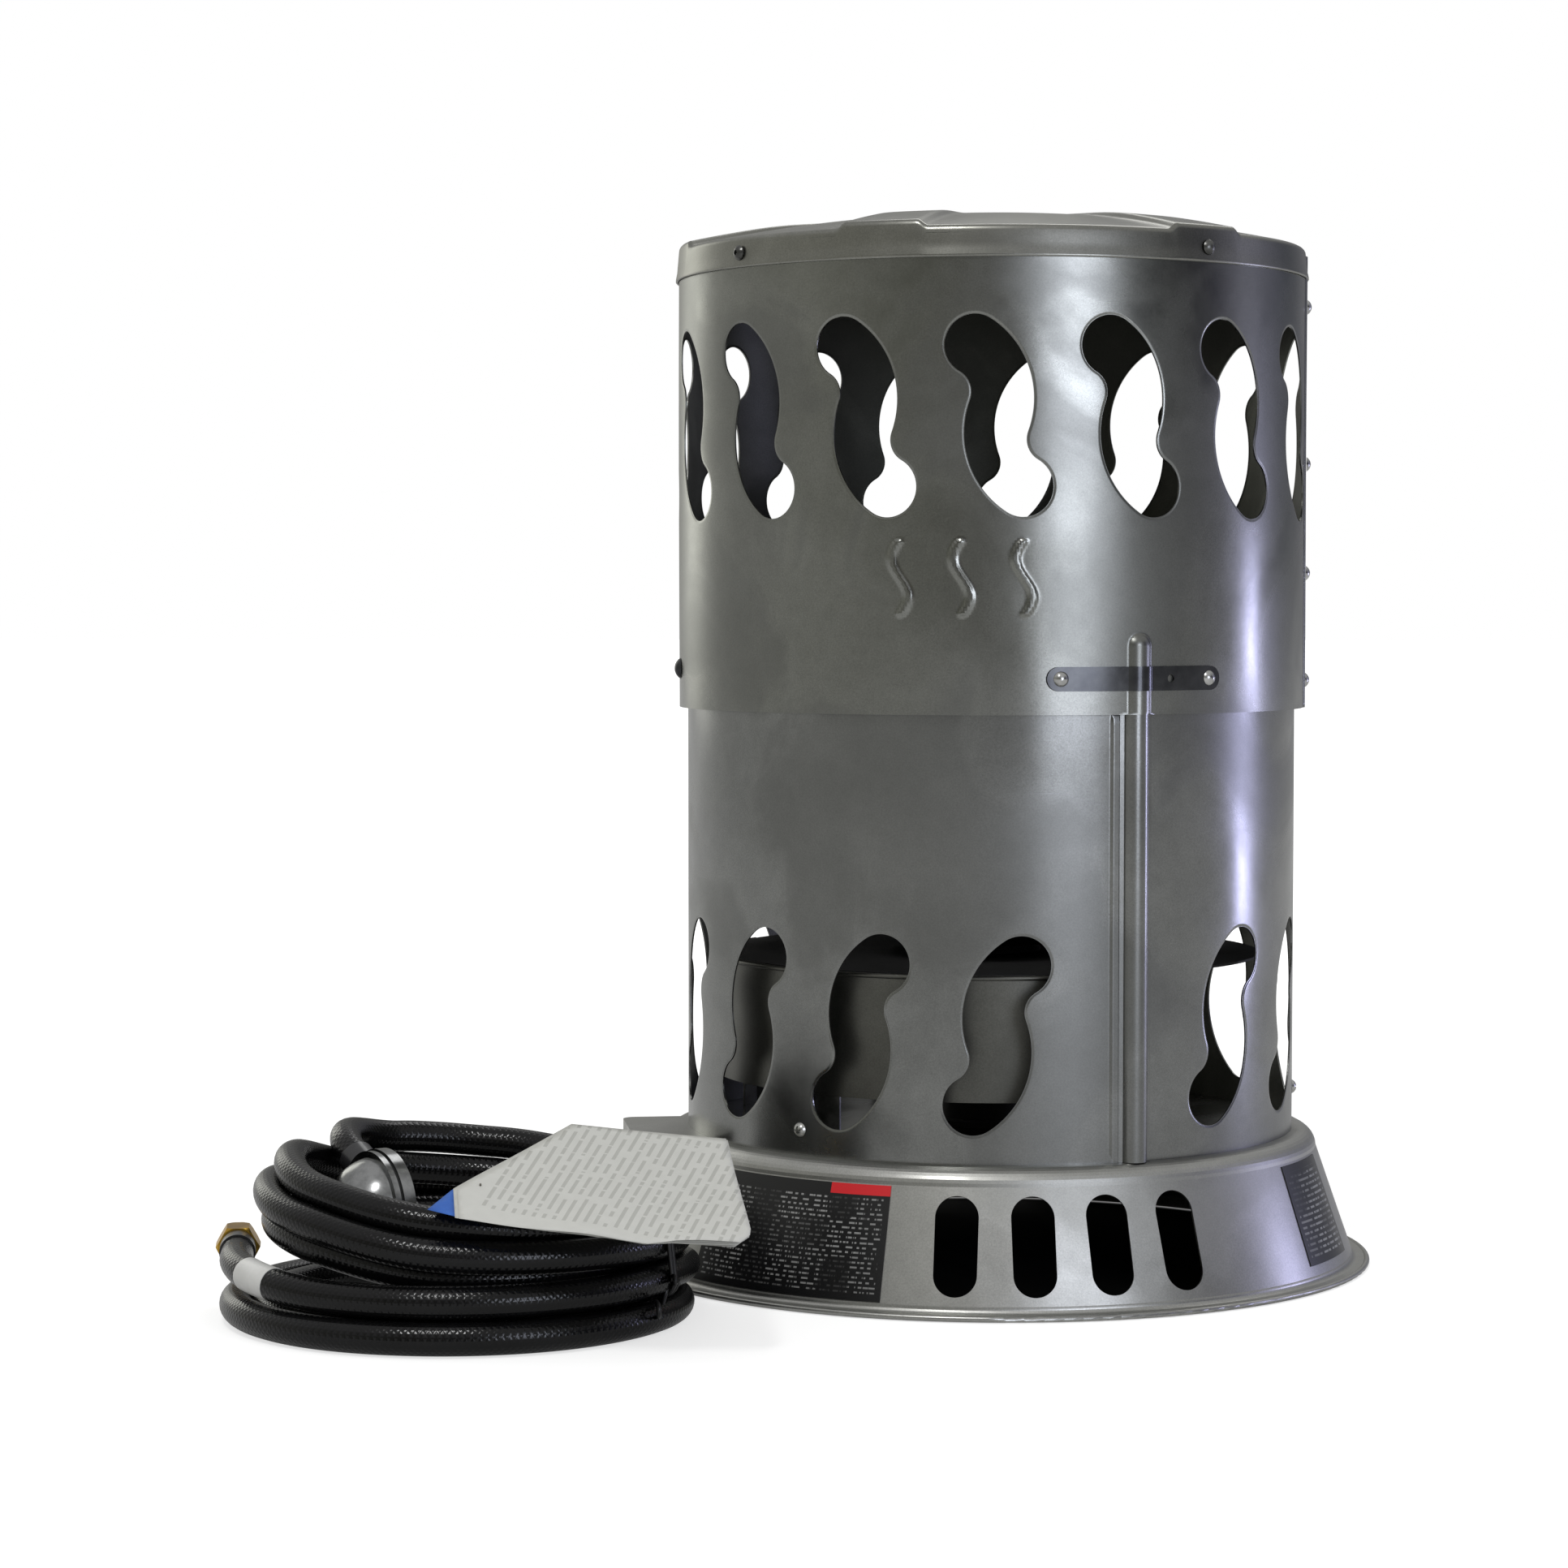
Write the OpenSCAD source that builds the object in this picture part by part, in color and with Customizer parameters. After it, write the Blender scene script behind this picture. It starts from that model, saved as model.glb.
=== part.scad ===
// Portable propane convection heater, with the hose and regulator set that lies beside it.
// Millimetres. +Z is up, the origin is on the drum's axis at the floor, and the front faces -Y.
// Angles round the drum start at the front (-Y) and grow towards +X.

/* [Base] */
// How far the rolled foot rim stands out past the skirt
foot_out = 9.4; // [7.5:0.1:14]
// Height of the rolled foot rim
foot_h = 3; // [2.5:0.5:5]
// Radius of the bend between the skirt's foot and its flange
foot_bend = 3; // [2:0.5:4]
// How far the skirt widens from its shoulder down to its foot
skirt_out = 19.2; // [15:0.2:22]
// Height where the skirt's slope ends
skirt_low_z = 6; // [5.5:0.5:12]
// How far the skirt's shoulder stands outside the lower shell
shoulder_out = 12.6; // [10:0.2:18]
// Height of the flat ledge on top of the base
base_h = 70.5; // [66:0.5:90]
// Radius of the rolled shoulder
shoulder_r = 9; // [4:0.5:10]
// How far the ledge reaches in under the lower shell
ledge_in = 12.4; // [9:0.2:30]
// Sheet thickness of the base
base_t = 1.2; // [0.8:0.1:2]
// Width of each air slot in the skirt
slot_w = 21.5; // [14:0.5:24]
// Distance from a slot's ends to the shoulder and to the foot's flare
slot_end = 2.75; // [0.5:0.25:6]
// Angle between neighbouring slots
slot_pitch = 12; // [9:0.5:14]
// Middle of the front group of slots
slot_mid = 13; // [5:1:20]

/* [Control panel] */
// Direction that the panel faces
panel_at = -80; // [-95:1:-75]
// How far the panel's face stands out past the skirt's foot
panel_out = 0.8; // [0.5:0.1:4]
// Width of the panel
panel_w = 84; // [80:1:90]
// Radius of the panel's upright corners
panel_corner_r = 7; // [3:0.5:10]
// Distance of the knob's axis below the ledge
knob_drop = 31.5; // [28:0.5:34]
// Radius of the control knob
knob_r = 18; // [14:0.5:20]
// Depth of the control knob
knob_h = 19; // [14:1:24]
// Turn of the knob from off to its lowest flame
knob_turn = 180; // [90:10:180]
// Radius of the valve's shaft
shaft_r = 4; // [3:0.5:5]
// Sideways place of the two push buttons, towards the front
button_u = 29; // [27:0.5:31]
// Distance of the safety valve's button below the ledge
safety_drop = 18.5; // [17:0.5:20]
// Radius of the safety valve's button
safety_r = 7; // [5:0.5:8]
// Travel of the safety valve's button
safety_travel = 6; // [3:0.5:7]
// Distance of the igniter button below the ledge
igniter_drop = 45.5; // [44:0.5:48]
// Radius of the igniter button
igniter_r = 6; // [4:0.5:8]
// Travel of the igniter button
igniter_travel = 5; // [3:0.5:6]
// How far a released button stands out of its bushing
button_out = 9; // [8:0.5:12]
// Sideways place of the gas inlet, towards the back
inlet_u = -27; // [-28:0.5:-24]
// Distance of the gas inlet below the ledge
inlet_drop = 40.5; // [38:0.5:44]

/* [Lower shell] */
// Outer radius of the lower shell
lower_r = 160.4; // [158:0.1:162]
// Sheet thickness of both shells
shell_t = 0.8; // [0.6:0.1:1.2]
// Height where the collar inside the upper shell starts
collar_z = 297; // [294:1:302]
// Height of the lower shell's top edge
lower_top_z = 318; // [312:1:322]
// Direction of the upright bead that covers the seam
bead_at = 26.5; // [24:0.5:30]
// Radius of the half-round bead
bead_r = 6.5; // [5:0.25:8]
// Lap of the sheet's end beside the bead
lap_w = 12; // [8:1:16]
// Height of the lower vents' centres above the ledge
lower_vent_up = 64; // [60:0.5:78]
// Angle between neighbouring lower vents
lower_vent_pitch = 25.2; // [22:0.2:26]
// First lower vent to the left of the seam bead
lower_vent_first = 1.4; // [-2:0.2:4]
// Angle from that vent across the bead to the next one
lower_vent_skip = 46.8; // [44:0.2:50]

/* [Upper shell] */
// How far the upper shell stands outside the lower one
shell_step = 4.6; // [4.6:0.1:7]
// Height of the upper shell's bottom edge
upper_z = 292.6; // [285:0.5:296]
// How far the bump over the bead reaches up from the bottom edge
bump_up = 41.4; // [38:0.2:50]
// Distance of the upper vents' centres below the cap's skirt
upper_vent_drop = 77.1; // [66:0.1:88]
// Angle between neighbouring upper vents
upper_vent_pitch = 23.52; // [22:0.2:23.9]
// Direction of the upper vent that is nearest the front
upper_vent_first = 1.44; // [-2:0.2:4]
// Direction of the upper shell's riveted seam
seam_at = 85.8; // [84:0.2:88]
// Width of the upper shell's lap
seam_w = 16; // [12:1:20]

/* [Vents] */
// Radius of the round lobes at the ends of a vent
lobe_r = 14.9; // [12:0.1:16]
// Sideways place of a lobe's centre
lobe_x = 12; // [10:0.1:13]
// Distance of a lobe's centre above or below the vent's centre
lobe_y = 34.5; // [30:0.5:38]
// Radius of the bulging side between the lobes
side_r = 46.1; // [44:0.1:50]
// Direction, from the vent's middle line, where a lobe runs into the bulging side
side_at = 57; // [50:0.5:65]
// Radius of the hollow side at the waist
waist_r = 11.5; // [9:0.5:13]

/* [Cap] */
// How far the cap's skirt stands outside the upper shell
cap_out = 1.3; // [1.2:0.1:3]
// Height of the cap's skirt
cap_skirt_h = 16; // [12:0.5:22]
// Height of the rim's top corner
cap_rim_z = 532; // [528:0.5:545]
// How far the cap's dome rises above the rim
cap_rise = 20; // [14:0.5:40]
// Corner radius at the rim
cap_corner_r = 3; // [1.5:0.5:5]
// Sheet thickness of the cap
cap_t = 0.8; // [0.6:0.1:1.2]
// Number of raised ribs
rib_n = 6; // [4:1:8]
// Direction of the first rib
rib_at = -19.3; // [-30:0.5:0]
// Width of a rib, as an angle
rib_deg = 15; // [10:0.5:18]
// Height that a rib stands out
rib_h = 3; // [1.5:0.25:4]
// Inner radius where the ribs end
rib_in_r = 52; // [30:1:80]

/* [Fasteners] */
// Head radius of a blind rivet
rivet_r = 3.8; // [3:0.1:4.5]
// Height of a rivet's head
rivet_h = 2.2; // [1.5:0.1:3]
// Height of the cap's rivets above the skirt's bottom edge
cap_rivet_up = 7.3; // [5:0.1:9]
// Direction of the first cap rivet
cap_rivet_at = 40.4; // [35:0.1:50]
// Head radius of a pan-head screw
screw_r = 3.7; // [3:0.1:4.5]
// Height above the ledge of the screws that hold the lower shell to the base
screw_up = 12.8; // [9:0.1:15]
// Direction of the first of those screws
screw_at = -36.2; // [-40:0.1:-32]
// Angle between neighbouring ones of those screws
screw_pitch = 124; // [118:1:126]
// Height above the upper shell's edge of the round-headed screws that join the shells
joint_up = 20.4; // [17:0.2:23]
// Direction of the first of those screws
joint_at = -80.5; // [-84:0.5:-76]
// Angle from the first of those screws to the other one
joint_pitch = 204; // [180:1:210]

/* [Seam strap] */
// Height of the strap's centre line above the upper shell's edge
strap_up = 17.7; // [12:0.1:21]
// Width of the strap
strap_w = 12; // [8:0.5:14]
// Thickness of the strap
strap_t = 1; // [0.8:0.1:1.5]
// Angle that the strap spans
strap_deg = 33.7; // [30:0.1:36]
// Distance of a strap rivet from the strap's end, as an angle
strap_rivet_in = 2.4; // [2:0.1:3.5]
// Direction of the strap's spare hole, from the bead
strap_hole_in = 6; // [5:0.5:9]
// Radius of the strap's spare hole
strap_hole_r = 2; // [1.5:0.1:2.5]

/* [Burner] */
// Gap between the pan that closes the drum's floor and the lower shell's face
pan_in = 1.4; // [1.2:0.1:8]
// Sheet thickness of the pan, the baffle and the shield
inner_t = 1.2; // [0.8:0.1:1.6]
// How far the round baffle above the burner tube stays inside the lower shell
baffle_in = 17.4; // [15:0.2:30]
// Height of the baffle's top above the ledge
baffle_up = 92.5; // [85:0.5:100]
// How far the curved heat shield stays inside the lower shell
shield_in = 14.4; // [10:0.2:20]
// Height of the shield's bottom edge above the ledge
shield_up = 29; // [20:0.5:34]
// Angle where the shield starts
shield_from = -118; // [-130:1:-95]
// Angle where the shield ends
shield_to = 31; // [25:1:36]
// Radius of the burner tube
tube_r = 27; // [20:0.5:32]
// Radius of the cast burner head
head_r = 52; // [40:1:60]
// Height of the cast burner head
head_h = 24; // [16:1:30]
// Number of flame ports round the head
port_n = 24; // [12:2:30]

/* [Hose set] */
// Outer radius of the hose
hose_r = 7.95; // [7:0.05:8]
// Direction of the coil's centre from the drum's axis
coil_dir = -53.42; // [-60:0.01:-45]
// Distance between the coil's outer turns and the heater's foot, along that direction
coil_gap = 5.2; // [4:0.1:20]
// Outer radius of the turns that lie on the floor
coil_r = 112; // [104:1:114]
// Outer radius of the raised turns
raised_r = 105; // [98:1:108]
// Height of the raised turns' stack
raised_h = 40; // [34:1:44]
// Height of the raised turns' middle above the floor
raised_z = 49.25; // [49.25:0.25:54]
// Tilt of the raised turns, up at the left
raised_tilt = 7.2; // [5:0.2:8]
// Direction of the tie that holds the raised turns, from the right
tie_at = -28; // [-40:1:-10]
// Width of the tie
tie_w = 3; // [2:0.5:5]
// Thickness of the tie
tie_t = 1; // [0.6:0.1:1.2]

/* [Regulator] */
// Radius of the regulator's round flange
reg_r = 29; // [24:0.5:30]
// Radius of the bonnet's dome
bonnet_r = 25; // [20:0.5:26]
// Height of the bonnet's dome
bonnet_h = 20; // [16:0.5:24]
// Radius of the spring cap on the bonnet
cap_nose_r = 11; // [8:0.5:12]
// Radius of the regulator's two ports
port_r = 9; // [8:0.5:11]
// Direction that the regulator's dome faces
reg_turn = -53; // [-56:1:-50]
// Slope of the line through the ports
port_tilt = 24; // [22:1:26]
// Distance of each port's mouth from the middle
port_reach = 33; // [30:0.5:34]
// Radius of the stem that the flare nut turns on
stem_r = 4.8; // [4.5:0.1:5.2]
// Length of a hose ferrule
ferrule_l = 14; // [12:0.5:16]
// Distance of the ear's hole outside the flange
ear_reach = 5; // [4.5:0.25:6]
// Radius of the ear's hole
ear_hole_r = 2.2; // [2:0.1:2.6]
// Direction of the flare nut's axis, to the right of straight back
nut_dir = -10; // [-14:1:-6]
// Distance of the ports' axis behind the flange
port_back = 11; // [10:0.5:13]
// Radius of the bottle connector's thread
pol_r = 11.2; // [10:0.1:12]
// Distance across the bottle nut's flats
pol_af = 28.5; // [26:0.5:30]
// Radius of the flare thread at the heater's inlet
flare_r = 7.9; // [7:0.1:8.5]
// Distance across the flare nut's flats
flare_af = 19; // [18:0.5:22]
// Length of the flare nut
flare_h = 20; // [16:0.5:24]

/* [Leaflet] */
// Length of the folded leaflet
leaf_l = 142; // [130:1:150]
// Width of the folded leaflet
leaf_w = 108; // [100:1:112]
// Slant of the leaflet's two side edges
leaf_taper = 34; // [20:1:40]
// Radius of the wire that holds the leaflet
wire_r = 0.5; // [0.4:0.1:0.8]
// Thickness of the folded leaflet
leaf_t = 1.6; // [1:0.1:3]

/* [Fits] */
// Gap between pieces that move against each other or only lie together
gap = 0.3; // [0.2:0.05:0.4]
// Radial gap of a shaft that turns or slides in its hole
run = 0.05; // [0.02:0.01:0.08]
// Gap between pieces of one body that are fastened face to face
seat = 0.02; // [0.01:0.01:0.05]

/* [Hidden] */
$fn = 96;
upper_r = lower_r + shell_step;
cap_r = upper_r + cap_out;
skirt_top_r = lower_r + shoulder_out;
skirt_low_r = skirt_top_r + skirt_out;
ledge_in_r = lower_r - ledge_in;
pan_r = lower_r - pan_in;
baffle_r = lower_r - baffle_in;
shield_r = lower_r - shield_in;
foot_r = skirt_low_r + foot_out;
panel_d = skirt_low_r + panel_out;
slot_z = (skirt_low_z + base_h - shoulder_r) / 2;
slot_h = base_h - shoulder_r - skirt_low_z - 2 * slot_end;
knob_z = base_h - knob_drop;
safety_z = base_h - safety_drop;
igniter_z = base_h - igniter_drop;
inlet_z = base_h - inlet_drop;
lower_vent_z = base_h + lower_vent_up;
cap_z = cap_rim_z - cap_skirt_h;
cap_top_z = cap_rim_z + cap_rise;
upper_vent_z = cap_z - upper_vent_drop;
bump_top_z = upper_z + bump_up;
cap_rivet_z = cap_z + cap_rivet_up;
screw_z = base_h + screw_up;
joint_z = upper_z + joint_up;
strap_z = upper_z + strap_up;
baffle_z = base_h + baffle_up;
shield_z = base_h + shield_up;
shell_z = base_h + seat;
collar_r = upper_r - shell_t - gap;
bump_r = bead_r + gap + shell_t;
upper_top_z = cap_rim_z - cap_corner_r - cap_t - gap;
pan_top = base_h + inner_t + seat;
panel_in = panel_d - base_t;
raised_w = 2 * hose_r + 10;
// The burner tube's mouth over the gas jet, and the underside of the burner head
mixer_z = knob_z + 6;
head_z = baffle_z + 6 + seat;
// How far the bottle nut stands off the port, past the ear
nut_off = (reg_r + ear_reach) * cos(port_tilt) + 5 + gap - port_reach;
// Places of the seam's rivets, as shares of the upper shell's height below the cap
seam_rivet_at = [0.064, 0.315, 0.57, 0.937];
dome_r = (pow(cap_r - cap_corner_r, 2) + pow(cap_top_z - cap_rim_z, 2)) / (2 * (cap_top_z - cap_rim_z));
coil_at = on_circle(coil_dir, foot_r + coil_r + coil_gap);
// The hose's end at the flare nut, and the direction that it points in
tail_end = coil_at + [-111, -6, 30];
nut_line = [sin(nut_dir), cos(nut_dir), 0];
// Routes about the coil's centre, as angle, radius and rise: the tail's above the floor turns, to the
// flare nut, and the lead's above the raised turns, from the regulator.
tail_turns = [[-110, 104, 0], [-115, 105, 0.2], [-124, 107, 0.7], [-134, 109, 2], [-143, 110, 3.2],
              [-153, 111, 4.5]];
lead_turns = [[156, 70, -5], [151, 78, -1], [146, 87, 0.2], [140, 91, 0], [133, 92, 0], [126, 92, 0]];
// The regulator's flange, and its dome's and outlet's directions
reg_at = coil_at + [-39, -23.5, 55];
dome_line = [sin(reg_turn), -cos(reg_turn), 0];
outlet_line = [-cos(port_tilt) * cos(reg_turn), -cos(port_tilt) * sin(reg_turn), sin(port_tilt)];
lead_start = reg_at - port_back * dome_line + (port_reach + ferrule_l) * outlet_line;
ear_at = reg_at + (reg_r + ear_reach) * [cos(reg_turn), sin(reg_turn), 0] - 3 * dome_line;

// ---------- placing ----------

function on_plan(a, r) = [r * sin(a), -r * cos(a)];
function on_circle(a, r, z = 0) = concat(on_plan(a, r), z);

// Children face outwards along their +Z, with +X to the right and +Y up.
module on_wall(a, r, z) {
    translate(on_circle(a, r, z)) rotate([0, 0, a]) rotate([90, 0, 0]) children();
}

// The same on the control panel, at u to the right of its middle.
module on_panel(u, z, d = panel_d) {
    rotate([0, 0, panel_at]) translate([u, -d, z]) rotate([90, 0, 0]) children();
}

// Children in the regulator's own frame: +Z out of the dome, +X along the ports towards the bottle.
module on_regulator() {
    translate(reg_at) rotate([0, 0, reg_turn]) rotate([90, 0, 0]) rotate([0, 0, -port_tilt]) children();
}

// ---------- shared shapes ----------

function unit(v) = v / norm(v);

// Points on an arc from angle a to b, with its end point unless end is 0
function arc(c, r, a, b, n = 8, end = 1) = [for (i = [0:n - 1 + end])
    let (q = a + (b - a) * i / n) c + r * [cos(q), sin(q)]];

module ring(r, t, z0, z1) {
    translate([0, 0, z0]) difference() {
        cylinder(r = r, h = z1 - z0);
        translate([0, 0, -1]) cylinder(r = r - t, h = z1 - z0 + 2);
    }
}

// Part of an upright ring, from angle a to b
module ring_part(r, t, z0, z1, a, b) {
    translate([0, 0, z0]) rotate([0, 0, a - 90]) rotate_extrude(angle = b - a)
        translate([r - t, 0]) square([t, z1 - z0]);
}

module stadium(w, h) {
    for (s = [-1, 1]) translate([0, s * (h - w) / 2]) circle(d = w);
    square([w, h - w], center = true);
}

module dome_head(r, h, dip = 0) {
    ball = (r * r + h * h) / (2 * h);
    difference() {
        intersection() {
            translate([0, 0, h - ball]) sphere(r = ball);
            cylinder(r = r, h = h + 1);
        }
        if (dip > 0) translate([0, 0, h - dip]) cylinder(r = r / 3, h = dip + 1);
    }
}

// One vent's outline: two round lobes, two bulging sides that meet them smoothly, and two hollow waists.
low_lobe = [lobe_x, -lobe_y];
side_c = -low_lobe - (side_r - lobe_r) * [cos(side_at), sin(side_at)];
lobe_d = norm(low_lobe - side_c);
waist_a = acos((pow(side_r + waist_r, 2) + lobe_d * lobe_d - pow(lobe_r + waist_r, 2))
               / (2 * lobe_d * (side_r + waist_r)));
waist_from = atan2(low_lobe[1] - side_c[1], low_lobe[0] - side_c[0]) + waist_a;
waist_c = side_c + (side_r + waist_r) * [cos(waist_from), sin(waist_from)];
waist_to = atan2(low_lobe[1] - waist_c[1], low_lobe[0] - waist_c[0]);
vent_half = concat(arc(side_c, side_r, side_at, waist_from, 8, 0),
                   arc(waist_c, waist_r, waist_from + 180, waist_to + 360, 5, 0),
                   arc(low_lobe, lobe_r, waist_to + 180, side_at - 180, 12, 0));

module vent_cut(a, r, z, turned = false) {
    on_wall(a, r - 12, z) linear_extrude(24) mirror([turned ? 1 : 0, 0])
        polygon(concat(vent_half, -vent_half));
}

// A tube swept along a route, as one closed solid
function lean(p, i) = unit(p[min(i + 1, len(p) - 1)] - p[max(i - 1, 0)]);
function tube_points(p, r, n) = [for (i = [0:len(p) - 1])
    let (d = lean(p, i), u = unit(cross(d, abs(d[2]) > 0.9 ? [1, 0, 0] : [0, 0, 1])), v = cross(u, d))
    for (k = [0:n - 1]) p[i] + r * (u * cos(360 * k / n) + v * sin(360 * k / n))];
module tube(p, r, n = 10) {
    m = len(p);
    polyhedron(tube_points(p, r, n), concat(
        [[for (k = [n - 1:-1:0]) k]], [[for (k = [0:n - 1]) (m - 1) * n + k]],
        [for (i = [0:m - 2]) for (k = [0:n - 1])
            [i * n + k, i * n + (k + 1) % n, (i + 1) * n + (k + 1) % n, (i + 1) * n + k]]));
}

// A smooth line through the points of a route, in s steps for each stretch
function between(p, i, t) = let (
    a = p[max(i - 1, 0)], b = p[i], c = p[i + 1], d = p[min(i + 2, len(p) - 1)])
    0.5 * (2 * b + (c - a) * t + (2 * a - 5 * b + 4 * c - d) * t * t + (3 * b - a - 3 * c + d) * t * t * t);
function smooth(p, s) = concat(
    [for (i = [0:len(p) - 2]) for (k = [0:s - 1]) between(p, i, k / s)], [p[len(p) - 1]]);

module hexagon(af) {
    circle(r = af / sqrt(3), $fn = 6);
}

// ---------- base ----------

module base_solid(inset) {
    t = inset;
    outer = concat([[0, -inset], [skirt_low_r - t, -inset], [skirt_low_r - t, skirt_low_z],
        [skirt_top_r - t, base_h - shoulder_r]],
        arc([skirt_top_r - shoulder_r, base_h - shoulder_r], shoulder_r - t, 0, 90), [[0, base_h - t]]);
    rotate_extrude() polygon(outer);
    rotate([0, 0, panel_at]) translate([0, 0, -inset]) linear_extrude(base_h) {
        translate([-(panel_w / 2 - t), -(panel_d - panel_corner_r)])
            square([panel_w - 2 * t, panel_d - ledge_in_r - panel_corner_r]);
        translate([-(panel_w / 2 - panel_corner_r), -(panel_d - t)])
            square([panel_w - 2 * panel_corner_r, panel_corner_r]);
        for (s = [-1, 1]) translate([s * (panel_w / 2 - panel_corner_r), -(panel_d - panel_corner_r)])
            circle(r = panel_corner_r - t);
    }
}

// The flange at the skirt's foot and the rolled rim that it ends in, which stands on a flat ring
module foot_rim() {
    mid = foot_r - foot_h / 2;
    centre = [skirt_low_r + foot_bend, foot_h + foot_bend - base_t / 2];
    rotate_extrude() {
        polygon(concat(arc(centre, foot_bend, 180, 270), [[mid, foot_h - base_t / 2], [mid, foot_h - 1.5 * base_t]],
            arc(centre, foot_bend + base_t, 270, 180)));
        translate([mid, foot_h / 2]) circle(d = foot_h);
        translate([mid - foot_h, 0]) square([foot_h, foot_h / 2]);
    }
}

module base_skirt() {
    lean_in = atan((skirt_low_r - skirt_top_r) / (base_h - shoulder_r - skirt_low_z));
    color("#a7a8a8") difference() {
        union() {
            difference() {
                base_solid(0);
                base_solid(base_t);
            }
            foot_rim();
        }
        translate([0, 0, base_h - base_t - 1]) cylinder(r = ledge_in_r, h = base_t + 2);
        for (g = [0, 180]) for (k = [-1.5:1:1.5])
            on_wall(slot_mid + g + k * slot_pitch, (skirt_low_r + skirt_top_r) / 2, slot_z)
                rotate([-lean_in, 0, 0]) translate([0, 0, -12]) linear_extrude(24) stadium(slot_w, slot_h);
        on_panel(0, knob_z, panel_d - 8) cylinder(r = shaft_r + gap, h = 16);
        on_panel(inlet_u, inlet_z, panel_d - 8) cylinder(r = flare_r - 1 + gap, h = 16);
        on_panel(button_u, safety_z, panel_d - 8) cylinder(r = safety_r + 2 + gap, h = 16);
        on_panel(button_u, igniter_z, panel_d - 8) cylinder(r = igniter_r + 2 + gap, h = 16);
    }
}

module floor_pan() {
    color("#5b5c5a") difference() {
        translate([0, 0, base_h + seat]) cylinder(r = pan_r, h = inner_t);
        translate([0, 0, base_h - 1]) cylinder(r = tube_r + gap, h = inner_t + 2);
    }
}

// ---------- shells ----------

module lower_solid(inset) {
    t = inset;
    rotate_extrude() polygon([[0, shell_z - t], [lower_r - t, shell_z - t], [lower_r - t, collar_z],
        [collar_r - t, collar_z + 4], [collar_r - t, lower_top_z + t], [0, lower_top_z + t]]);
    translate(on_circle(bead_at, lower_r, shell_z - t))
        cylinder(r = bead_r - t, h = lower_top_z - shell_z + 2 * t);
}

module lower_shell() {
    lap = lap_w / lower_r * 180 / PI;
    color("#8f9090") difference() {
        union() {
            difference() {
                lower_solid(0);
                lower_solid(shell_t);
            }
            ring_part(lower_r + shell_t, shell_t + 0.2, shell_z, collar_z - 5,
                      bead_at - lap / 2 - 2, bead_at - 2);
        }
        translate(on_circle(bead_at, lower_r, 0)) cylinder(r = bead_r - shell_t, h = lower_top_z + 1);
        for (k = [0:6]) vent_cut(lower_vent_first - k * lower_vent_pitch, lower_r, lower_vent_z, true);
        for (k = [0:5]) vent_cut(lower_vent_first + lower_vent_skip + k * lower_vent_pitch, lower_r,
            lower_vent_z, true);
    }
}

module upper_solid(inset) {
    t = inset;
    translate([0, 0, upper_z - t]) cylinder(r = upper_r - t, h = upper_top_z - upper_z + 2 * t);
    translate(on_circle(bead_at, lower_r, 0)) {
        translate([0, 0, upper_z - t]) cylinder(r = bump_r - t, h = bump_top_z - bump_r - upper_z + t);
        translate([0, 0, bump_top_z - bump_r]) sphere(r = bump_r - t);
    }
}

module upper_shell() {
    lap = seam_w / upper_r * 180 / PI;
    color("#98999a") difference() {
        union() {
            difference() {
                upper_solid(0);
                upper_solid(shell_t);
            }
            ring_part(upper_r + shell_t, shell_t + 0.2, upper_z, cap_z - 1,
                      seam_at - lap / 2, seam_at + lap / 2);
        }
        seam_gap = 360 - 15 * upper_vent_pitch;
        for (k = [-3:11]) vent_cut(upper_vent_first + k * upper_vent_pitch + (k > 3 ? seam_gap : 0),
            upper_r, upper_vent_z);
    }
}

// ---------- cap ----------

module cap_solid(inset) {
    t = inset;
    rim = cap_r - cap_corner_r;
    rotate_extrude() polygon(concat([[0, cap_z - t], [cap_r - t, cap_z - t]],
        arc([rim, cap_rim_z - cap_corner_r], cap_corner_r - t, 0, 90, 4), [[0, cap_rim_z - t]]));
    intersection() {
        translate([0, 0, cap_top_z - dome_r]) sphere(r = dome_r - t, $fn = 256);
        translate([0, 0, cap_rim_z - t - 0.5]) cylinder(r = rim, h = cap_top_z - cap_rim_z + 1);
    }
}

module rib_solid(inset) {
    t = inset;
    half = rib_deg / 2;
    far = cap_r + 5;
    wide = far * tan(half) - t / cos(half);
    for (k = [0:rib_n - 1]) intersection() {
        translate([0, 0, cap_top_z + rib_h - dome_r]) sphere(r = dome_r - t, $fn = 256);
        difference() {
            translate([0, 0, cap_rim_z - cap_corner_r]) cylinder(r = cap_r - cap_corner_r / 2 - t, h = 40);
            translate([0, 0, cap_rim_z - cap_corner_r - 1]) cylinder(r = rib_in_r + t, h = 42);
        }
        rotate([0, 0, rib_at + k * 360 / rib_n]) linear_extrude(cap_top_z + 10)
            polygon([[0, -t / sin(half)], [-wide, -far], [wide, -far]]);
    }
}

module top_cap() {
    color("#a2a29e") difference() {
        union() {
            cap_solid(0);
            rib_solid(0);
        }
        cap_solid(cap_t);
        rib_solid(cap_t);
    }
}

// ---------- fasteners ----------

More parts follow.
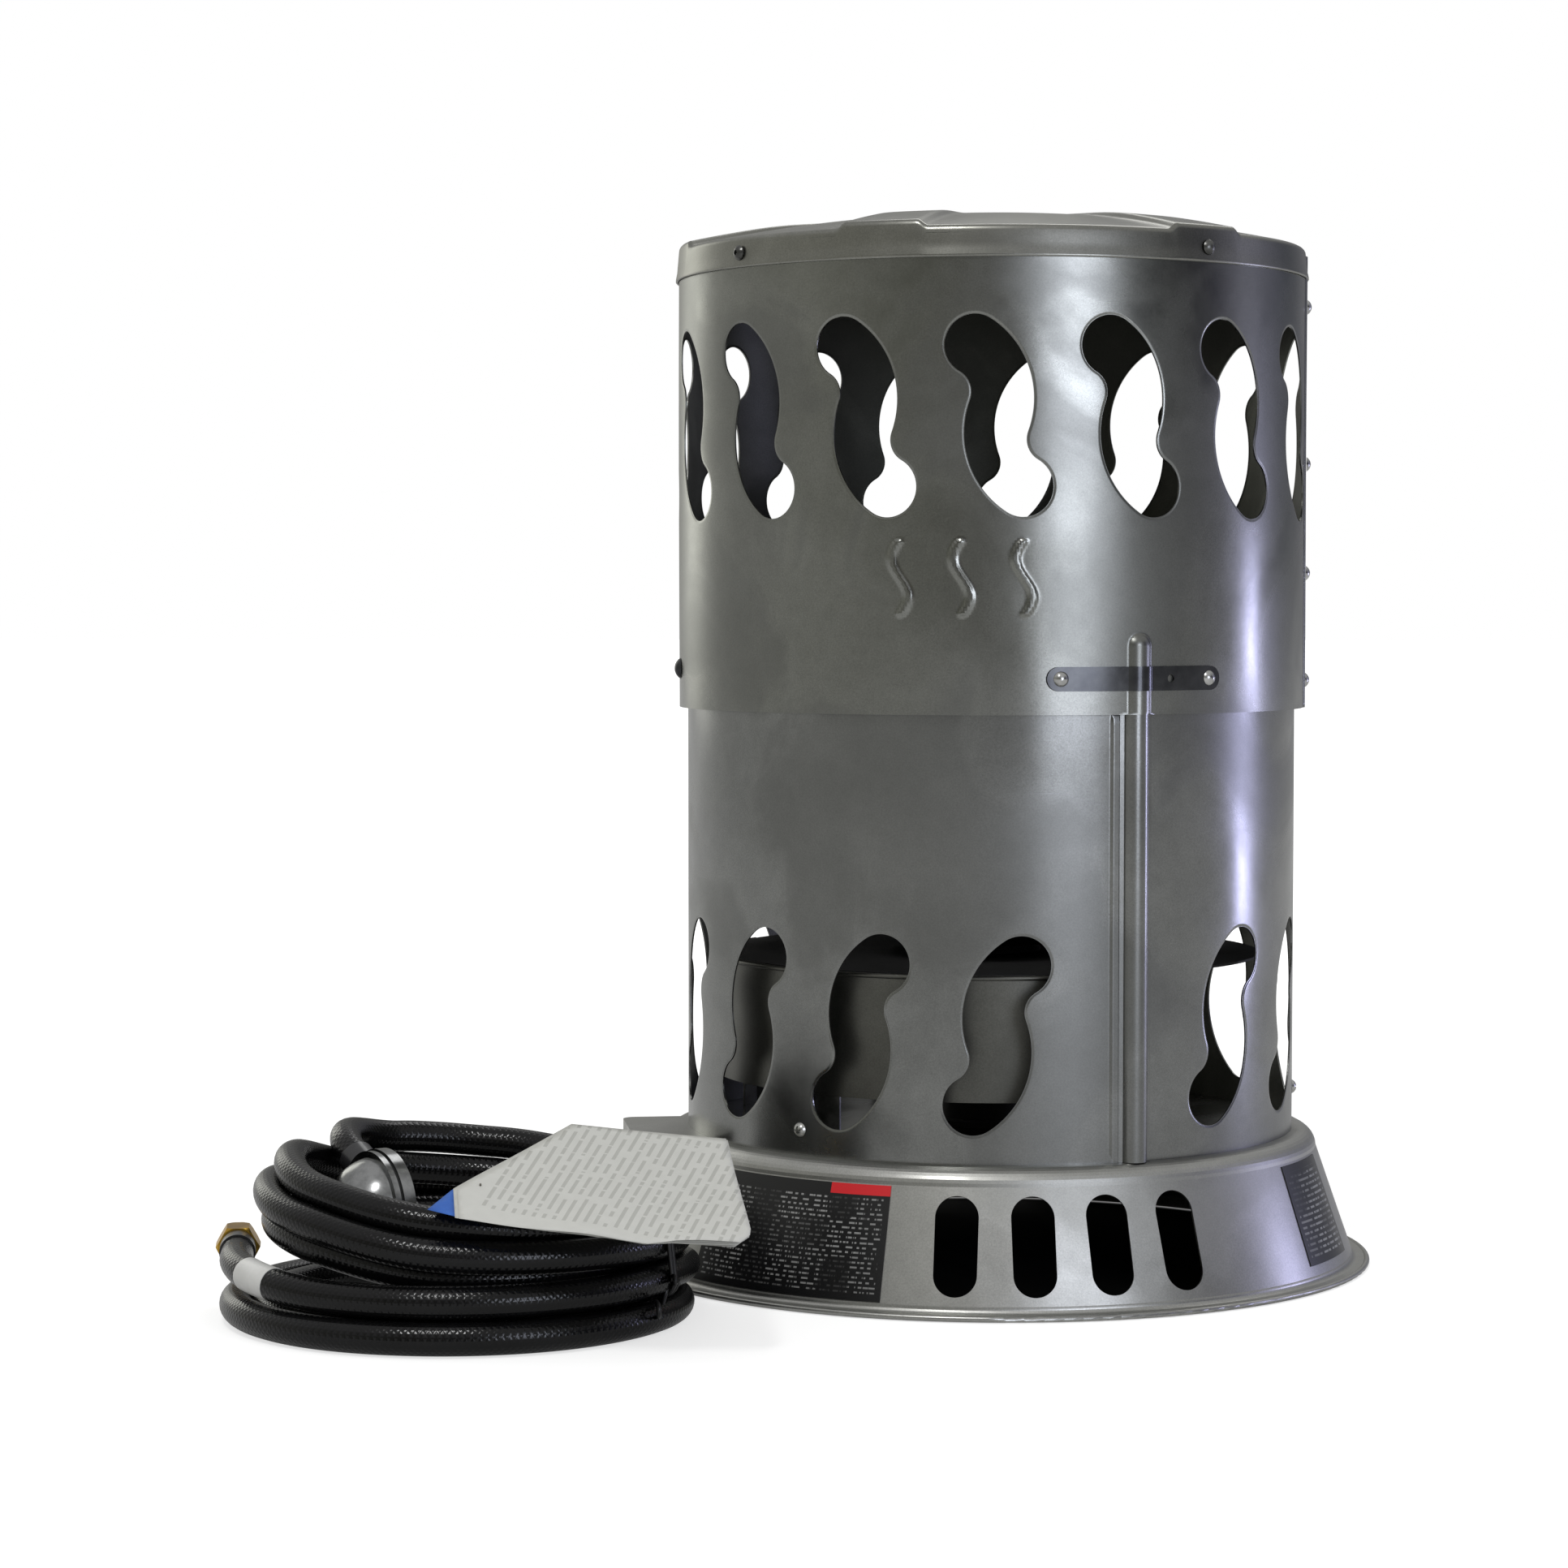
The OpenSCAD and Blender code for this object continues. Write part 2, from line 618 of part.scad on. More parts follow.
module seam_strap() {
    flat_r = upper_r + gap + strap_t;
    reach = flat_r * sin(strap_deg / 2);
    color("#b9bab8") difference() {
        intersection() {
            translate([0, 0, strap_z - strap_w]) linear_extrude(2 * strap_w, $fn = 240) difference() {
                union() {
                    circle(r = flat_r);
                    translate(on_plan(bead_at, lower_r)) circle(r = bump_r + gap + strap_t);
                }
                circle(r = upper_r + gap);
                translate(on_plan(bead_at, lower_r)) circle(r = bump_r + gap);
            }
            on_wall(bead_at, upper_r / 2, strap_z)
                linear_extrude(upper_r) rotate(90) stadium(strap_w, 2 * reach);
        }
        for (s = [-1, 1]) on_wall(bead_at + s * (strap_deg / 2 - strap_rivet_in), upper_r - 2, strap_z)
            cylinder(r = rivet_r / 2 + gap, h = 8);
        on_wall(bead_at + strap_hole_in, upper_r - 2, strap_z) cylinder(r = strap_hole_r, h = 8);
    }
}

module strap_rivets() {
    color("#c4c5c4") for (s = [-1, 1])
        on_wall(bead_at + s * (strap_deg / 2 - strap_rivet_in), upper_r + gap + strap_t + seat, strap_z)
            dome_head(rivet_r, rivet_h);
}

module seam_rivets() {
    color("#b4b5b5") for (q = seam_rivet_at)
        on_wall(seam_at, upper_r + shell_t + gap / 2, upper_z + q * (cap_z - upper_z))
            dome_head(rivet_r, rivet_h);
}

module cap_rivets() {
    color("#8d8e8e") for (k = [0:3])
        on_wall(cap_rivet_at + k * 90, cap_r + gap / 2, cap_rivet_z)
            dome_head(rivet_r, rivet_h, k == 3 ? 1.5 : 0);
}

module pan_head(r, h) {
    difference() {
        dome_head(r, h);
        for (q = [0, 90]) rotate([0, 0, q])
            translate([-r * 0.55, -r * 0.12, h * 0.45]) cube([r * 1.1, r * 0.24, h]);
    }
}

module shell_screws() {
    color("#c2c3c3") for (k = [0:2])
        on_wall(screw_at + k * screw_pitch, lower_r + 0.1, screw_z + (k == 1 ? 8 : 0))
            pan_head(screw_r, 2.4);
}

module joint_screws() {
    color("#3a3b3c") for (k = [0, 1])
        on_wall(joint_at + k * joint_pitch, upper_r + gap / 2, joint_z) dome_head(5.5, 3);
}

// ---------- burner ----------

module heat_shield() {
    color("#868783") ring_part(shield_r, inner_t, shield_z, baffle_z - inner_t - seat,
        shield_from, shield_to);
}

module shield_legs() {
    leg_r = shield_r - inner_t - 0.1;
    half = 7 / leg_r * 180 / PI;
    color("#6f706d") for (a = [shield_from + 4, -34, shield_to - 4])
        ring_part(leg_r, inner_t, pan_top + seat, shield_z + 25, a - half, a + half);
}

module baffle_disc() {
    color("#1c1c1c") translate([0, 0, baffle_z - inner_t]) difference() {
        cylinder(r = baffle_r, h = inner_t);
        translate([0, 0, -1]) cylinder(r = tube_r + gap, h = inner_t + 2);
    }
}

module baffle_posts() {
    color("#2a2a2a") for (a = [150, 210])
        translate(on_circle(a, baffle_r - 20, pan_top + seat))
            cylinder(r = 4, h = baffle_z - inner_t - pan_top - 2 * seat);
}

module burner_tube() {
    color("#222222") difference() {
        union() {
            translate([0, 0, mixer_z + 4]) cylinder(r = tube_r, h = head_z - seat - mixer_z - 4);
            translate([0, 0, pan_top + seat]) cylinder(r = tube_r + 9, h = 3);
            translate([0, 0, mixer_z]) cylinder(r1 = tube_r + 5, r2 = tube_r, h = 8);
        }
        translate([0, 0, mixer_z - 1]) cylinder(r = tube_r - 2.5, h = baffle_z);
    }
}

module burner_head() {
    color("#26241f") difference() {
        union() {
            translate([0, 0, head_z]) cylinder(r1 = head_r - 3, r2 = head_r, h = 6);
            translate([0, 0, head_z + 6]) cylinder(r = head_r, h = head_h - 10);
            translate([0, 0, head_z + head_h - 4]) cylinder(r1 = head_r, r2 = head_r - 6, h = 4);
        }
        translate([0, 0, head_z + 3]) cylinder(r = head_r - 4, h = head_h - 6);
        translate([0, 0, head_z - 1]) cylinder(r = tube_r - 2.5, h = 6);
        for (k = [0:port_n - 1]) on_wall(k * 360 / port_n, head_r - 8, head_z + 13) cylinder(r = 2, h = 10);
    }
}

module burner_bracket() {
    color("#8a8a86") difference() {
        translate([head_r + 4, -14, baffle_z + seat]) union() {
            cube([14, 28, 1.5]);
            cube([1.5, 28, head_h + 8]);
        }
        for (s = [-1, 1]) translate([head_r, s * 8, head_z + head_h - 8])
            rotate([0, 90, 0]) cylinder(r = 2, h = 10);
    }
}

module igniter_electrode() {
    x = head_r + 12;
    color("#e8e4d8") translate([x, -8, baffle_z + 1.5 + 2 * seat]) {
        cylinder(r = 3.2, h = 22);
        translate([0, 0, 22]) cylinder(r = 0.9, h = 12);
        translate([-8, 0, 34]) rotate([0, 90, 0]) cylinder(r = 0.9, h = 8.9);
    }
}

module thermocouple() {
    x = head_r + 12;
    color("#b88a5a") translate([x, 8, baffle_z + 1.5 + 2 * seat]) {
        cylinder(r = 2.4, h = 14);
        translate([0, 0, 14]) cylinder(r = 1.7, h = 22);
    }
}

module orifice_elbow() {
    color("#b08d3c") translate([0, 0, knob_z]) difference() {
        union() {
            rotate([0, 0, panel_at]) rotate([90, 0, 0]) cylinder(r = 7, h = 22);
            translate([0, 0, -7]) cylinder(r = 7, h = 16);
            translate([0, 0, 9]) cylinder(r1 = 4, r2 = 2.5, h = 6);
            sphere(r = 7);
        }
        cylinder(r = 0.9, h = 20);
    }
}

module supply_tube() {
    color("#c7c8ca") on_panel(0, knob_z, 22 + seat) cylinder(r = 4, h = panel_in - 44 - 22 - 2 * seat);
}

module gas_valve() {
    color("#b9a468") {
        on_panel(0, knob_z, panel_in - 44) difference() {
            union() {
                cylinder(r = 8, h = 12);
                translate([-12, -14, 10]) cube([24, 28, 33]);
                translate([inlet_u + 8 - 1, inlet_z - knob_z - 6, 18]) cube([abs(inlet_u) - 8, 12, 12]);
                translate([8, safety_z - knob_z - 6, 14]) cube([button_u - 4, 12, 12]);
                cylinder(r = shaft_r, h = 44 + base_t + knob_h - 6);
            }
            translate([0, 0, -1]) cylinder(r = 2, h = 8);
        }
    }
}

module inlet_fitting() {
    color("#b89545") difference() {
        union() {
            on_panel(inlet_u, inlet_z, panel_in - 30) cylinder(r = flare_r - 1, h = 30 + base_t + 5);
            on_panel(inlet_u, inlet_z, panel_d + gap) linear_extrude(6) hexagon(flare_af);
            on_panel(inlet_u, inlet_z, panel_d + 5) cylinder(r = flare_r, h = 14);
            on_panel(inlet_u, inlet_z, panel_d + 18) cylinder(r1 = flare_r - 0.4, r2 = 4.5, h = 5);
        }
        on_panel(inlet_u, inlet_z, panel_in - 31) cylinder(r = 3, h = 70);
    }
}

module control_knob() {
    back = panel_d + gap;
    color("#1e1e1f") difference() {
        union() {
            on_panel(0, knob_z, back) cylinder(r = knob_r, h = 6);
            on_panel(0, knob_z, back + 2) cylinder(r1 = knob_r - 1.2, r2 = knob_r - 3.5, h = knob_h - 2);
            on_panel(0, knob_z, back + 2)
                translate([-3.5, 1 - knob_r, 0]) cube([7, 2 * knob_r - 2, knob_h]);
        }
        on_panel(0, knob_z, back - 1) cylinder(r = shaft_r + run, h = knob_h - 4);
    }
}

// A collar through the panel that guides a round button
module bushing(u, z, r) {
    difference() {
        union() {
            on_panel(u, z, panel_in - 14) cylinder(r = r + 2, h = 14 + base_t + 4);
            on_panel(u, z, panel_d + seat) linear_extrude(3) hexagon(2 * r + 6.5);
        }
        on_panel(u, z, panel_in - 12) cylinder(r = r + run, h = 30);
    }
}

module push_button(u, z, r, travel) {
    on_panel(u, z, panel_in - 12 + travel + gap)
        cylinder(r = r, h = 12 - travel - gap + base_t + 4 + button_out - 2);
    on_panel(u, z, panel_d + 4 + button_out - 2) dome_head(r, 2);
}

module safety_bushing() {
    color("#c3c4c4") bushing(button_u, safety_z, safety_r);
}

module safety_button() {
    color("#b02020") push_button(button_u, safety_z, safety_r, safety_travel);
}

module igniter_bushing() {
    color("#202020") bushing(button_u, igniter_z, igniter_r);
}

module igniter_button() {
    color("#d8d8d4") push_button(button_u, igniter_z, igniter_r, igniter_travel);
}

// ---------- plates ----------

// A thin plate that follows the skirt's cone
module skirt_plate(a, b, z0, z1) {
    slope = (skirt_low_r - skirt_top_r) / (base_h - shoulder_r - skirt_low_z);
    r0 = skirt_low_r - slope * (z0 - skirt_low_z) + 0.1;
    r1 = skirt_low_r - slope * (z1 - skirt_low_z) + 0.1;
    rotate([0, 0, a - 90]) rotate_extrude(angle = b - a)
        polygon([[r0, z0], [r0 + 0.4, z0], [r1 + 0.4, z1], [r1, z1]]);
}

module rating_plate() {
    color("#0c0c0d") skirt_plate(-51, -16, skirt_low_z + 0.5, base_h - shoulder_r - 0.5);
}

module side_plate() {
    color("#1a1a1b") skirt_plate(59, 76, skirt_low_z + 5, base_h - shoulder_r - 1);
}

// ---------- hose set ----------

module hose_coil_floor() {
    color("#161616") translate(coil_at) rotate_extrude() {
        for (k = [0, 1]) translate([coil_r - hose_r - 2 * k * hose_r, hose_r]) circle(r = hose_r);
        translate([coil_r - 3 * hose_r, 0]) square([2 * hose_r, 2 * hose_r]);
    }
}

// Children in the raised turns' tilted frame
module on_raised() {
    translate(coil_at + [0, 0, raised_z]) rotate([0, raised_tilt, 0]) children();
}

module hose_coil_raised() {
    mid_r = raised_r - raised_w / 2;
    color("#161616") on_raised() rotate_extrude() {
        for (s = [-1, 1]) for (q = [-1, 1])
            translate([mid_r + s * (raised_w / 2 - hose_r), q * (raised_h / 2 - hose_r)])
                circle(r = hose_r);
        translate([mid_r - raised_w / 2, -raised_h / 2 + hose_r]) square([raised_w, raised_h - 2 * hose_r]);
        translate([mid_r - raised_w / 2 + hose_r, -raised_h / 2]) square([raised_w - 2 * hose_r, raised_h]);
    }
}

module hose_tail() {
    color("#161616") tube(smooth(concat(
        [for (q = tail_turns) coil_at + [q[1] * cos(q[0]), q[1] * sin(q[0]), 3 * hose_r + gap + q[2]]],
        [for (k = [26, 13, 0]) tail_end - k * nut_line]), 2), hose_r, 12);
}

// A place above the raised turns' top face, at angle a and radius r about the coil's centre
function on_turns(a, r, up) = coil_at + [r * cos(a), r * sin(a),
    raised_z + (raised_h / 2 + up) / cos(raised_tilt) - r * cos(a) * tan(raised_tilt)];

// The short run from the regulator's outlet onto the raised turns
module hose_lead() {
    lift = hose_r + 2 * gap;
    color("#161616") tube(smooth(concat([for (k = [0, 3, 6]) lead_start + (k + seat) * outlet_line],
        [for (q = lead_turns) on_turns(q[0], q[1], lift + q[2])]), 2), hose_r, 12);
}

// Children on the hose's end at the flare nut, with +Z running off the hose
module on_tail() {
    translate(tail_end) rotate([0, 0, -nut_dir]) rotate([-90, 0, 0]) children();
}

module nut_ferrule() {
    color("#1d1d1e") on_tail() translate([0, 0, seat]) difference() {
        cylinder(r = hose_r + 0.9, h = ferrule_l);
        translate([0, 0, 4]) cylinder(r = stem_r + seat, h = ferrule_l);
    }
}

module flare_stem() {
    color("#b08d3c") on_tail() difference() {
        union() {
            translate([0, 0, 4 + 2 * seat]) cylinder(r = stem_r, h = ferrule_l - 4 + flare_h);
            translate([0, 0, ferrule_l + flare_h - 9]) cylinder(r1 = stem_r, r2 = flare_r - 1.5, h = 4);
        }
        translate([0, 0, 3]) cylinder(r = 3, h = 40);
    }
}

module flare_nut() {
    color("#a8822e") on_tail() translate([0, 0, ferrule_l + gap]) difference() {
        intersection() {
            linear_extrude(flare_h) hexagon(flare_af);
            translate([0, 0, -0.1])
                cylinder(r1 = flare_af / 2 + 0.2, r2 = flare_af / 2 + 12, h = flare_h + 1);
            translate([0, 0, 0.1 - 12])
                cylinder(r1 = flare_af / 2 + 12.4, r2 = flare_af / 2 + 0.2, h = flare_h + 12);
        }
        translate([0, 0, -1]) cylinder(r = stem_r + run, h = flare_h + 2);
        translate([0, 0, flare_h - 9 - 2 * gap]) cylinder(r = flare_r, h = flare_h);
    }
}

module regulator_ferrule() {
    color("#1d1d1e") on_regulator() rotate([0, -90, 0]) translate([-port_back, 0, port_reach + seat])
        cylinder(r = hose_r + 0.9, h = ferrule_l - 2 * seat);
}

module regulator_body() {
    color("#9fa0a2") on_regulator() difference() {
        union() {
            translate([0, 0, -6]) cylinder(r = reg_r, h = 6);
            translate([0, 0, -14]) cylinder(r1 = 14, r2 = reg_r - 5, h = 8);
            rotate([0, 90, 0]) translate([port_back, 0, -port_reach])
                cylinder(r = port_r, h = 2 * port_reach);
            rotate([0, 0, port_tilt]) translate([reg_r - 3, -5, -5]) cube([ear_reach + 3, 10, 4]);
            rotate([0, 0, port_tilt]) translate([reg_r + ear_reach, 0, -5]) cylinder(r = 5, h = 4);
        }
        rotate([0, 0, port_tilt]) translate([reg_r + ear_reach, 0, -8]) cylinder(r = ear_hole_r, h = 10);
        translate([0, 0, -3]) cylinder(r = bonnet_r - 3, h = 5);
    }
}

module regulator_gasket() {
    color("#101010") on_regulator() translate([0, 0, seat]) cylinder(r = reg_r - 1.5, h = 1.2);
}

module regulator_bonnet() {
    ball = (bonnet_r * bonnet_r + bonnet_h * bonnet_h) / (2 * bonnet_h);
    color("#a9aaac") on_regulator() translate([0, 0, 1.2 + 2 * seat]) difference() {
        union() {
            cylinder(r = reg_r - 0.8, h = 3);
            translate([0, 0, 3]) intersection() {
                translate([0, 0, bonnet_h - ball]) sphere(r = ball);
                cylinder(r = bonnet_r, h = bonnet_h);
            }
            cylinder(r = cap_nose_r, h = bonnet_h + 8);
        }
        translate([0, 0, bonnet_h]) cylinder(r = cap_nose_r - 2, h = 20);
    }
}

module regulator_cap() {
    color("#8f9092") on_regulator() translate([0, 0, bonnet_h + 2]) difference() {
        cylinder(r = cap_nose_r - 2 - seat, h = 6);
        translate([0, 0, 3]) linear_extrude(5) hexagon(8);
    }
}

// Children on the bottle side of the regulator, with +Z towards the bottle
module on_bottle_port() {
    on_regulator() rotate([0, 90, 0]) translate([port_back, 0, port_reach]) children();
}

module bottle_stem() {
    color("#b08d3c") on_bottle_port() translate([0, 0, seat]) union() {
        cylinder(r = 5, h = nut_off + 22);
        translate([0, 0, nut_off + 18]) cylinder(r1 = 5, r2 = 7.5, h = 3);
        translate([0, 0, nut_off + 20.5]) cylinder(r = 7.5, h = 3.5);
        translate([0, 0, nut_off + 23.5]) cylinder(r1 = 7.5, r2 = 4, h = 6.5);
    }
}

module bottle_nut() {
    color("#b3903f") on_bottle_port() translate([0, 0, nut_off + gap + seat]) difference() {
        union() {
            linear_extrude(8) hexagon(pol_af);
            cylinder(r = pol_r, h = 17 - 2 * gap);
        }
        translate([0, 0, -1]) cylinder(r = 5 + run, h = 30);
    }
}

module twist_tie() {
    w = raised_w + 2 * gap;
    h = raised_h + 2 * gap;
    color("#111111") on_raised() rotate([0, 0, tie_at]) translate([raised_r - raised_w / 2, tie_w / 2, 0])
        rotate([90, 0, 0]) linear_extrude(tie_w) difference() {
            square([w + 2 * tie_t, h + 2 * tie_t], center = true);
            square([w, h], center = true);
        }
}

// A direction turned as rotate(a) turns it
function turned(v, a) = let (
    x = [v[0], v[1] * cos(a[0]) - v[2] * sin(a[0]), v[1] * sin(a[0]) + v[2] * cos(a[0])],
    y = [x[0] * cos(a[1]) + x[2] * sin(a[1]), x[1], x[2] * cos(a[1]) - x[0] * sin(a[1])])
    [y[0] * cos(a[2]) - y[1] * sin(a[2]), y[0] * sin(a[2]) + y[1] * cos(a[2]), y[2]];

leaf_at = on_turns(-78.7, 100.2, 0) + [63.4, 35.35, 8.8];
leaf_tilt = [20, 8, -10];
leaf_hole = [-leaf_l / 2 + 12, -leaf_w / 2 + 22, 0];

module leaflet() {
    l = leaf_l / 2;
    w = leaf_w / 2;
    color("#d9d9d4") translate(leaf_at) rotate(leaf_tilt) linear_extrude(leaf_t) difference() {
        polygon([[-l, 16 - w], [leaf_taper - l, w - 11], [l - leaf_taper, w], [l, 24 - w], [l - 4, 13 - w],
                 [5, -w], [23 - l, -w]]);
        translate([leaf_hole[0], leaf_hole[1]]) circle(r = 2.5);
    }
}

module leaflet_wire() {
    hole = leaf_at + turned(leaf_hole, leaf_tilt);
    up = turned([0, 0, 1], leaf_tilt);
    ear = ear_at - [0, 0, ear_hole_r - wire_r - gap];
    color("#77746c") tube(smooth([ear + 6 * dome_line, ear + 2 * dome_line, ear - 3 * dome_line,
        ear - 8 * dome_line + [2, -6, 4], hole - 6 * up, hole - up, hole + 4 * up], 2), wire_r, 8);
}

base_skirt();
floor_pan();
lower_shell();
upper_shell();
top_cap();
seam_strap();
strap_rivets();
seam_rivets();
cap_rivets();
shell_screws();
joint_screws();
heat_shield();
shield_legs();
baffle_disc();
baffle_posts();
burner_tube();
burner_head();
burner_bracket();
igniter_electrode();
thermocouple();
orifice_elbow();
supply_tube();
gas_valve();
inlet_fitting();
control_knob();
safety_bushing();
safety_button();
igniter_bushing();
igniter_button();
rating_plate();
side_plate();
hose_coil_raised();
hose_coil_floor();
hose_tail();
hose_lead();
nut_ferrule();
flare_stem();
flare_nut();
regulator_ferrule();
regulator_body();
regulator_gasket();
regulator_bonnet();
regulator_cap();
bottle_stem();
bottle_nut();
twist_tie();
leaflet();
leaflet_wire();
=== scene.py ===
"""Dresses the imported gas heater: wrapped sheet-metal shells, one real hose, its leaflet, and every finish."""

import functools
import logging
import math
from dataclasses import dataclass, field
from enum import Enum
from typing import Any, Callable, Optional, Protocol

import bpy
import numpy as np
from mathutils import Euler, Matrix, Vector
from mathutils.geometry import delaunay_2d_cdt


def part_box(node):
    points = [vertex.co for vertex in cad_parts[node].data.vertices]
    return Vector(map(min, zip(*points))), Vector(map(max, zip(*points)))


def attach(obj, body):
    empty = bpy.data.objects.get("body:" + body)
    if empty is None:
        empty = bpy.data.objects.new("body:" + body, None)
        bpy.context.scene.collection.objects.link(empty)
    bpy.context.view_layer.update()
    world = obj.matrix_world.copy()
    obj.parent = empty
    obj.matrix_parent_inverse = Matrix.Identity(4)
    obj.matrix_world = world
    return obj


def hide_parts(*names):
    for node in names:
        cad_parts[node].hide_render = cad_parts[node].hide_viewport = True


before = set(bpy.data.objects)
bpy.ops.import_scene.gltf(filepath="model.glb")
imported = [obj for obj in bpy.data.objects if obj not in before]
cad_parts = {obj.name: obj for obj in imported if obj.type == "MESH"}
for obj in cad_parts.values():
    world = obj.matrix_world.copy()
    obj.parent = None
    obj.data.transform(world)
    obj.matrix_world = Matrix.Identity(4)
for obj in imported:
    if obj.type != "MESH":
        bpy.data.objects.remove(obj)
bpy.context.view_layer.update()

LOG = logging.getLogger("heater")
MM = 0.001
FULL_TURN = 2 * math.pi
UP = np.array([0.0, 0.0, 1.0])

Array = np.ndarray
Piece = bpy.types.Object
Socket = bpy.types.NodeSocket
Colour = tuple[float, float, float, float]
Point = tuple[float, float, float]
Box = tuple[float, float, float, float]
Faces = list[tuple[int, ...]]
Corners = tuple[tuple[float, float], ...]


# ---------- shapes ----------


def make_object(name: str, verts: Array, faces: Faces, smooth_deg: float = 35.0) -> Piece:
    """Makes a mesh object from points in millimetres.

    Args:
        name: the piece's name.
        verts: the points, one row each.
        faces: vertex numbers of each face.
        smooth_deg: edges sharper than this stay sharp.

    Returns:
        The object, linked to the scene.
    """
    mesh = bpy.data.meshes.new(name)
    mesh.from_pydata((np.asarray(verts) * MM).tolist(), [], faces)
    mesh.validate()
    mesh.shade_smooth()
    mesh.set_sharp_from_angle(angle=math.radians(smooth_deg))
    piece = bpy.data.objects.new(name, mesh)
    bpy.context.scene.collection.objects.link(piece)
    return piece


def corner_points(piece: Piece) -> Array:
    """The vertex number at each corner of each face."""
    found = np.zeros(len(piece.data.loops), np.int32)
    piece.data.loops.foreach_get("vertex_index", found)
    return found


def map_uv(piece: Piece, name: str, across: Array, up: Array) -> None:
    """Gives a piece a UV map, with one place for each corner of each face."""
    layer = piece.data.uv_layers.new(name=name)
    layer.data.foreach_set("uv", np.stack([across, up], axis=1).astype(np.float32).ravel())


def quads(rows: int, columns: int, close_rows: bool = False, close_columns: bool = True) -> Faces:
    """Joins neighbouring rows of points with four-sided faces.

    Args:
        rows: number of rows.
        columns: number of points in each row.
        close_rows: whether the last row joins the first.
        close_columns: whether each row's last point joins its first.

    Returns:
        The faces, row by row.
    """
    faces: Faces = []
    for i in range(rows if close_rows else rows - 1):
        near, far = i * columns, (i + 1) % rows * columns
        for k in range(columns if close_columns else columns - 1):
            m = (k + 1) % columns
            faces.append((near + k, near + m, far + m, far + k))
    return faces


def smoothstep(low: float, high: float, value: Array | float) -> Array:
    """Rises smoothly from 0 at low to 1 at high."""
    t = np.clip((value - low) / (high - low), 0, 1)
    return t * t * (3 - 2 * t)


def compass(degrees: Array | float) -> tuple[Array, Array]:
    """The outward and the sideways direction at angles round the drum, from the front towards +X."""
    a = np.radians(degrees)
    s, c, level = np.sin(a), np.cos(a), 0 * a
    return np.stack([s, -c, level], axis=-1), np.stack([c, s, level], axis=-1)


def on_drum(theta: Array, radius: Array | float, z: Array | float) -> Array:
    """Points at angles round the drum, in degrees from the front towards +X."""
    a = np.radians(theta)
    return np.stack([radius * np.sin(a), -radius * np.cos(a), z + 0 * a], axis=-1)


def unit(vector: Array) -> Array:
    """Vectors scaled to a length of one."""
    return vector / np.maximum(np.linalg.norm(vector, axis=-1, keepdims=True), 1e-12)


def run(line: Array) -> Array:
    """Distance along a line at each of its points."""
    return np.concatenate([[0], np.cumsum(np.linalg.norm(np.diff(line, axis=0), axis=1))])


def through(points: Array, spacing: float) -> Array:
    """Runs one smooth curve through a route's points.

    Args:
        points: the route.
        spacing: distance between the curve's points, in millimetres.

    Returns:
        The curve's points, evenly spaced.
    """
    padded = np.vstack([2 * points[0] - points[1], points, 2 * points[-1] - points[-2]])
    t = np.linspace(0, 1, 16, endpoint=False)[:, None]
    dense = []
    for i in range(1, len(padded) - 2):
        a, b, c, d = padded[i - 1:i + 3]
        dense.append(0.5 * (2 * b + (c - a) * t + (2 * a - 5 * b + 4 * c - d) * t ** 2
                            + (3 * b - a - 3 * c + d) * t ** 3))
    line = np.vstack(dense + [points[-1:]])
    along = run(line)
    stops = np.linspace(0, along[-1], max(2, int(round(along[-1] / spacing)) + 1))
    return np.stack([np.interp(stops, along, line[:, k]) for k in range(3)], axis=1)


def tube(name: str, path: Array, radius: float, sides: int) -> Piece:
    """Sweeps a round tube along a path, with its length and turn as a UV map.

    Args:
        name: the piece's name.
        path: the centre line in millimetres.
        radius: the tube's radius.
        sides: number of sides round it.

    Returns:
        The tube's object.
    """
    count = len(path)
    ahead = unit(np.gradient(path, axis=0))
    side = np.zeros_like(path)
    side[0] = unit(np.cross(ahead[0], UP))
    for i in range(1, count):
        side[i] = unit(side[i - 1] - ahead[i] * np.dot(side[i - 1], ahead[i]))
    up = np.cross(side, ahead)
    turn = np.linspace(0, FULL_TURN, sides, endpoint=False)[None, :, None]
    rings = path[:, None] + radius * (side[:, None] * np.cos(turn) + up[:, None] * np.sin(turn))
    walls = quads(count, sides)
    ends = [tuple(range(sides - 1, -1, -1)), tuple((count - 1) * sides + k for k in range(sides))]
    piece = make_object(name, rings.reshape(-1, 3), walls + ends, 50)
    ring, place = np.divmod(corner_points(piece), sides)
    share = place / sides
    # The last wall of each ring meets the first again, a whole turn on.
    closing = np.arange(len(share)) // 4 % sides == sides - 1
    closing[4 * len(walls):] = False
    share[closing & (place == 0)] = 1.0
    map_uv(piece, "along", run(path)[ring] * MM, share)
    return piece


def arc(centre: Array, radius: float, start: float, end: float, count: int) -> Array:
    """Points on an arc, without its last one, with angles in degrees."""
    angles = np.radians(np.linspace(start, end, count, endpoint=False))
    return np.stack([centre[0] + radius * np.cos(angles), centre[1] + radius * np.sin(angles)], axis=1)


def inside(points: Array, outline: Array) -> Array:
    """Whether each point lies inside a closed outline.

    Args:
        points: the points, one row each.
        outline: the outline's corners in order.

    Returns:
        One truth value for each point.
    """
    result = np.zeros(len(points), bool)
    for (x1, y1), (x2, y2) in zip(outline, np.roll(outline, -1, axis=0)):
        if y1 != y2:
            crosses = (y1 > points[:, 1]) != (y2 > points[:, 1])
            result ^= crosses & (points[:, 0] < (x2 - x1) * (points[:, 1] - y1) / (y2 - y1) + x1)
    return result


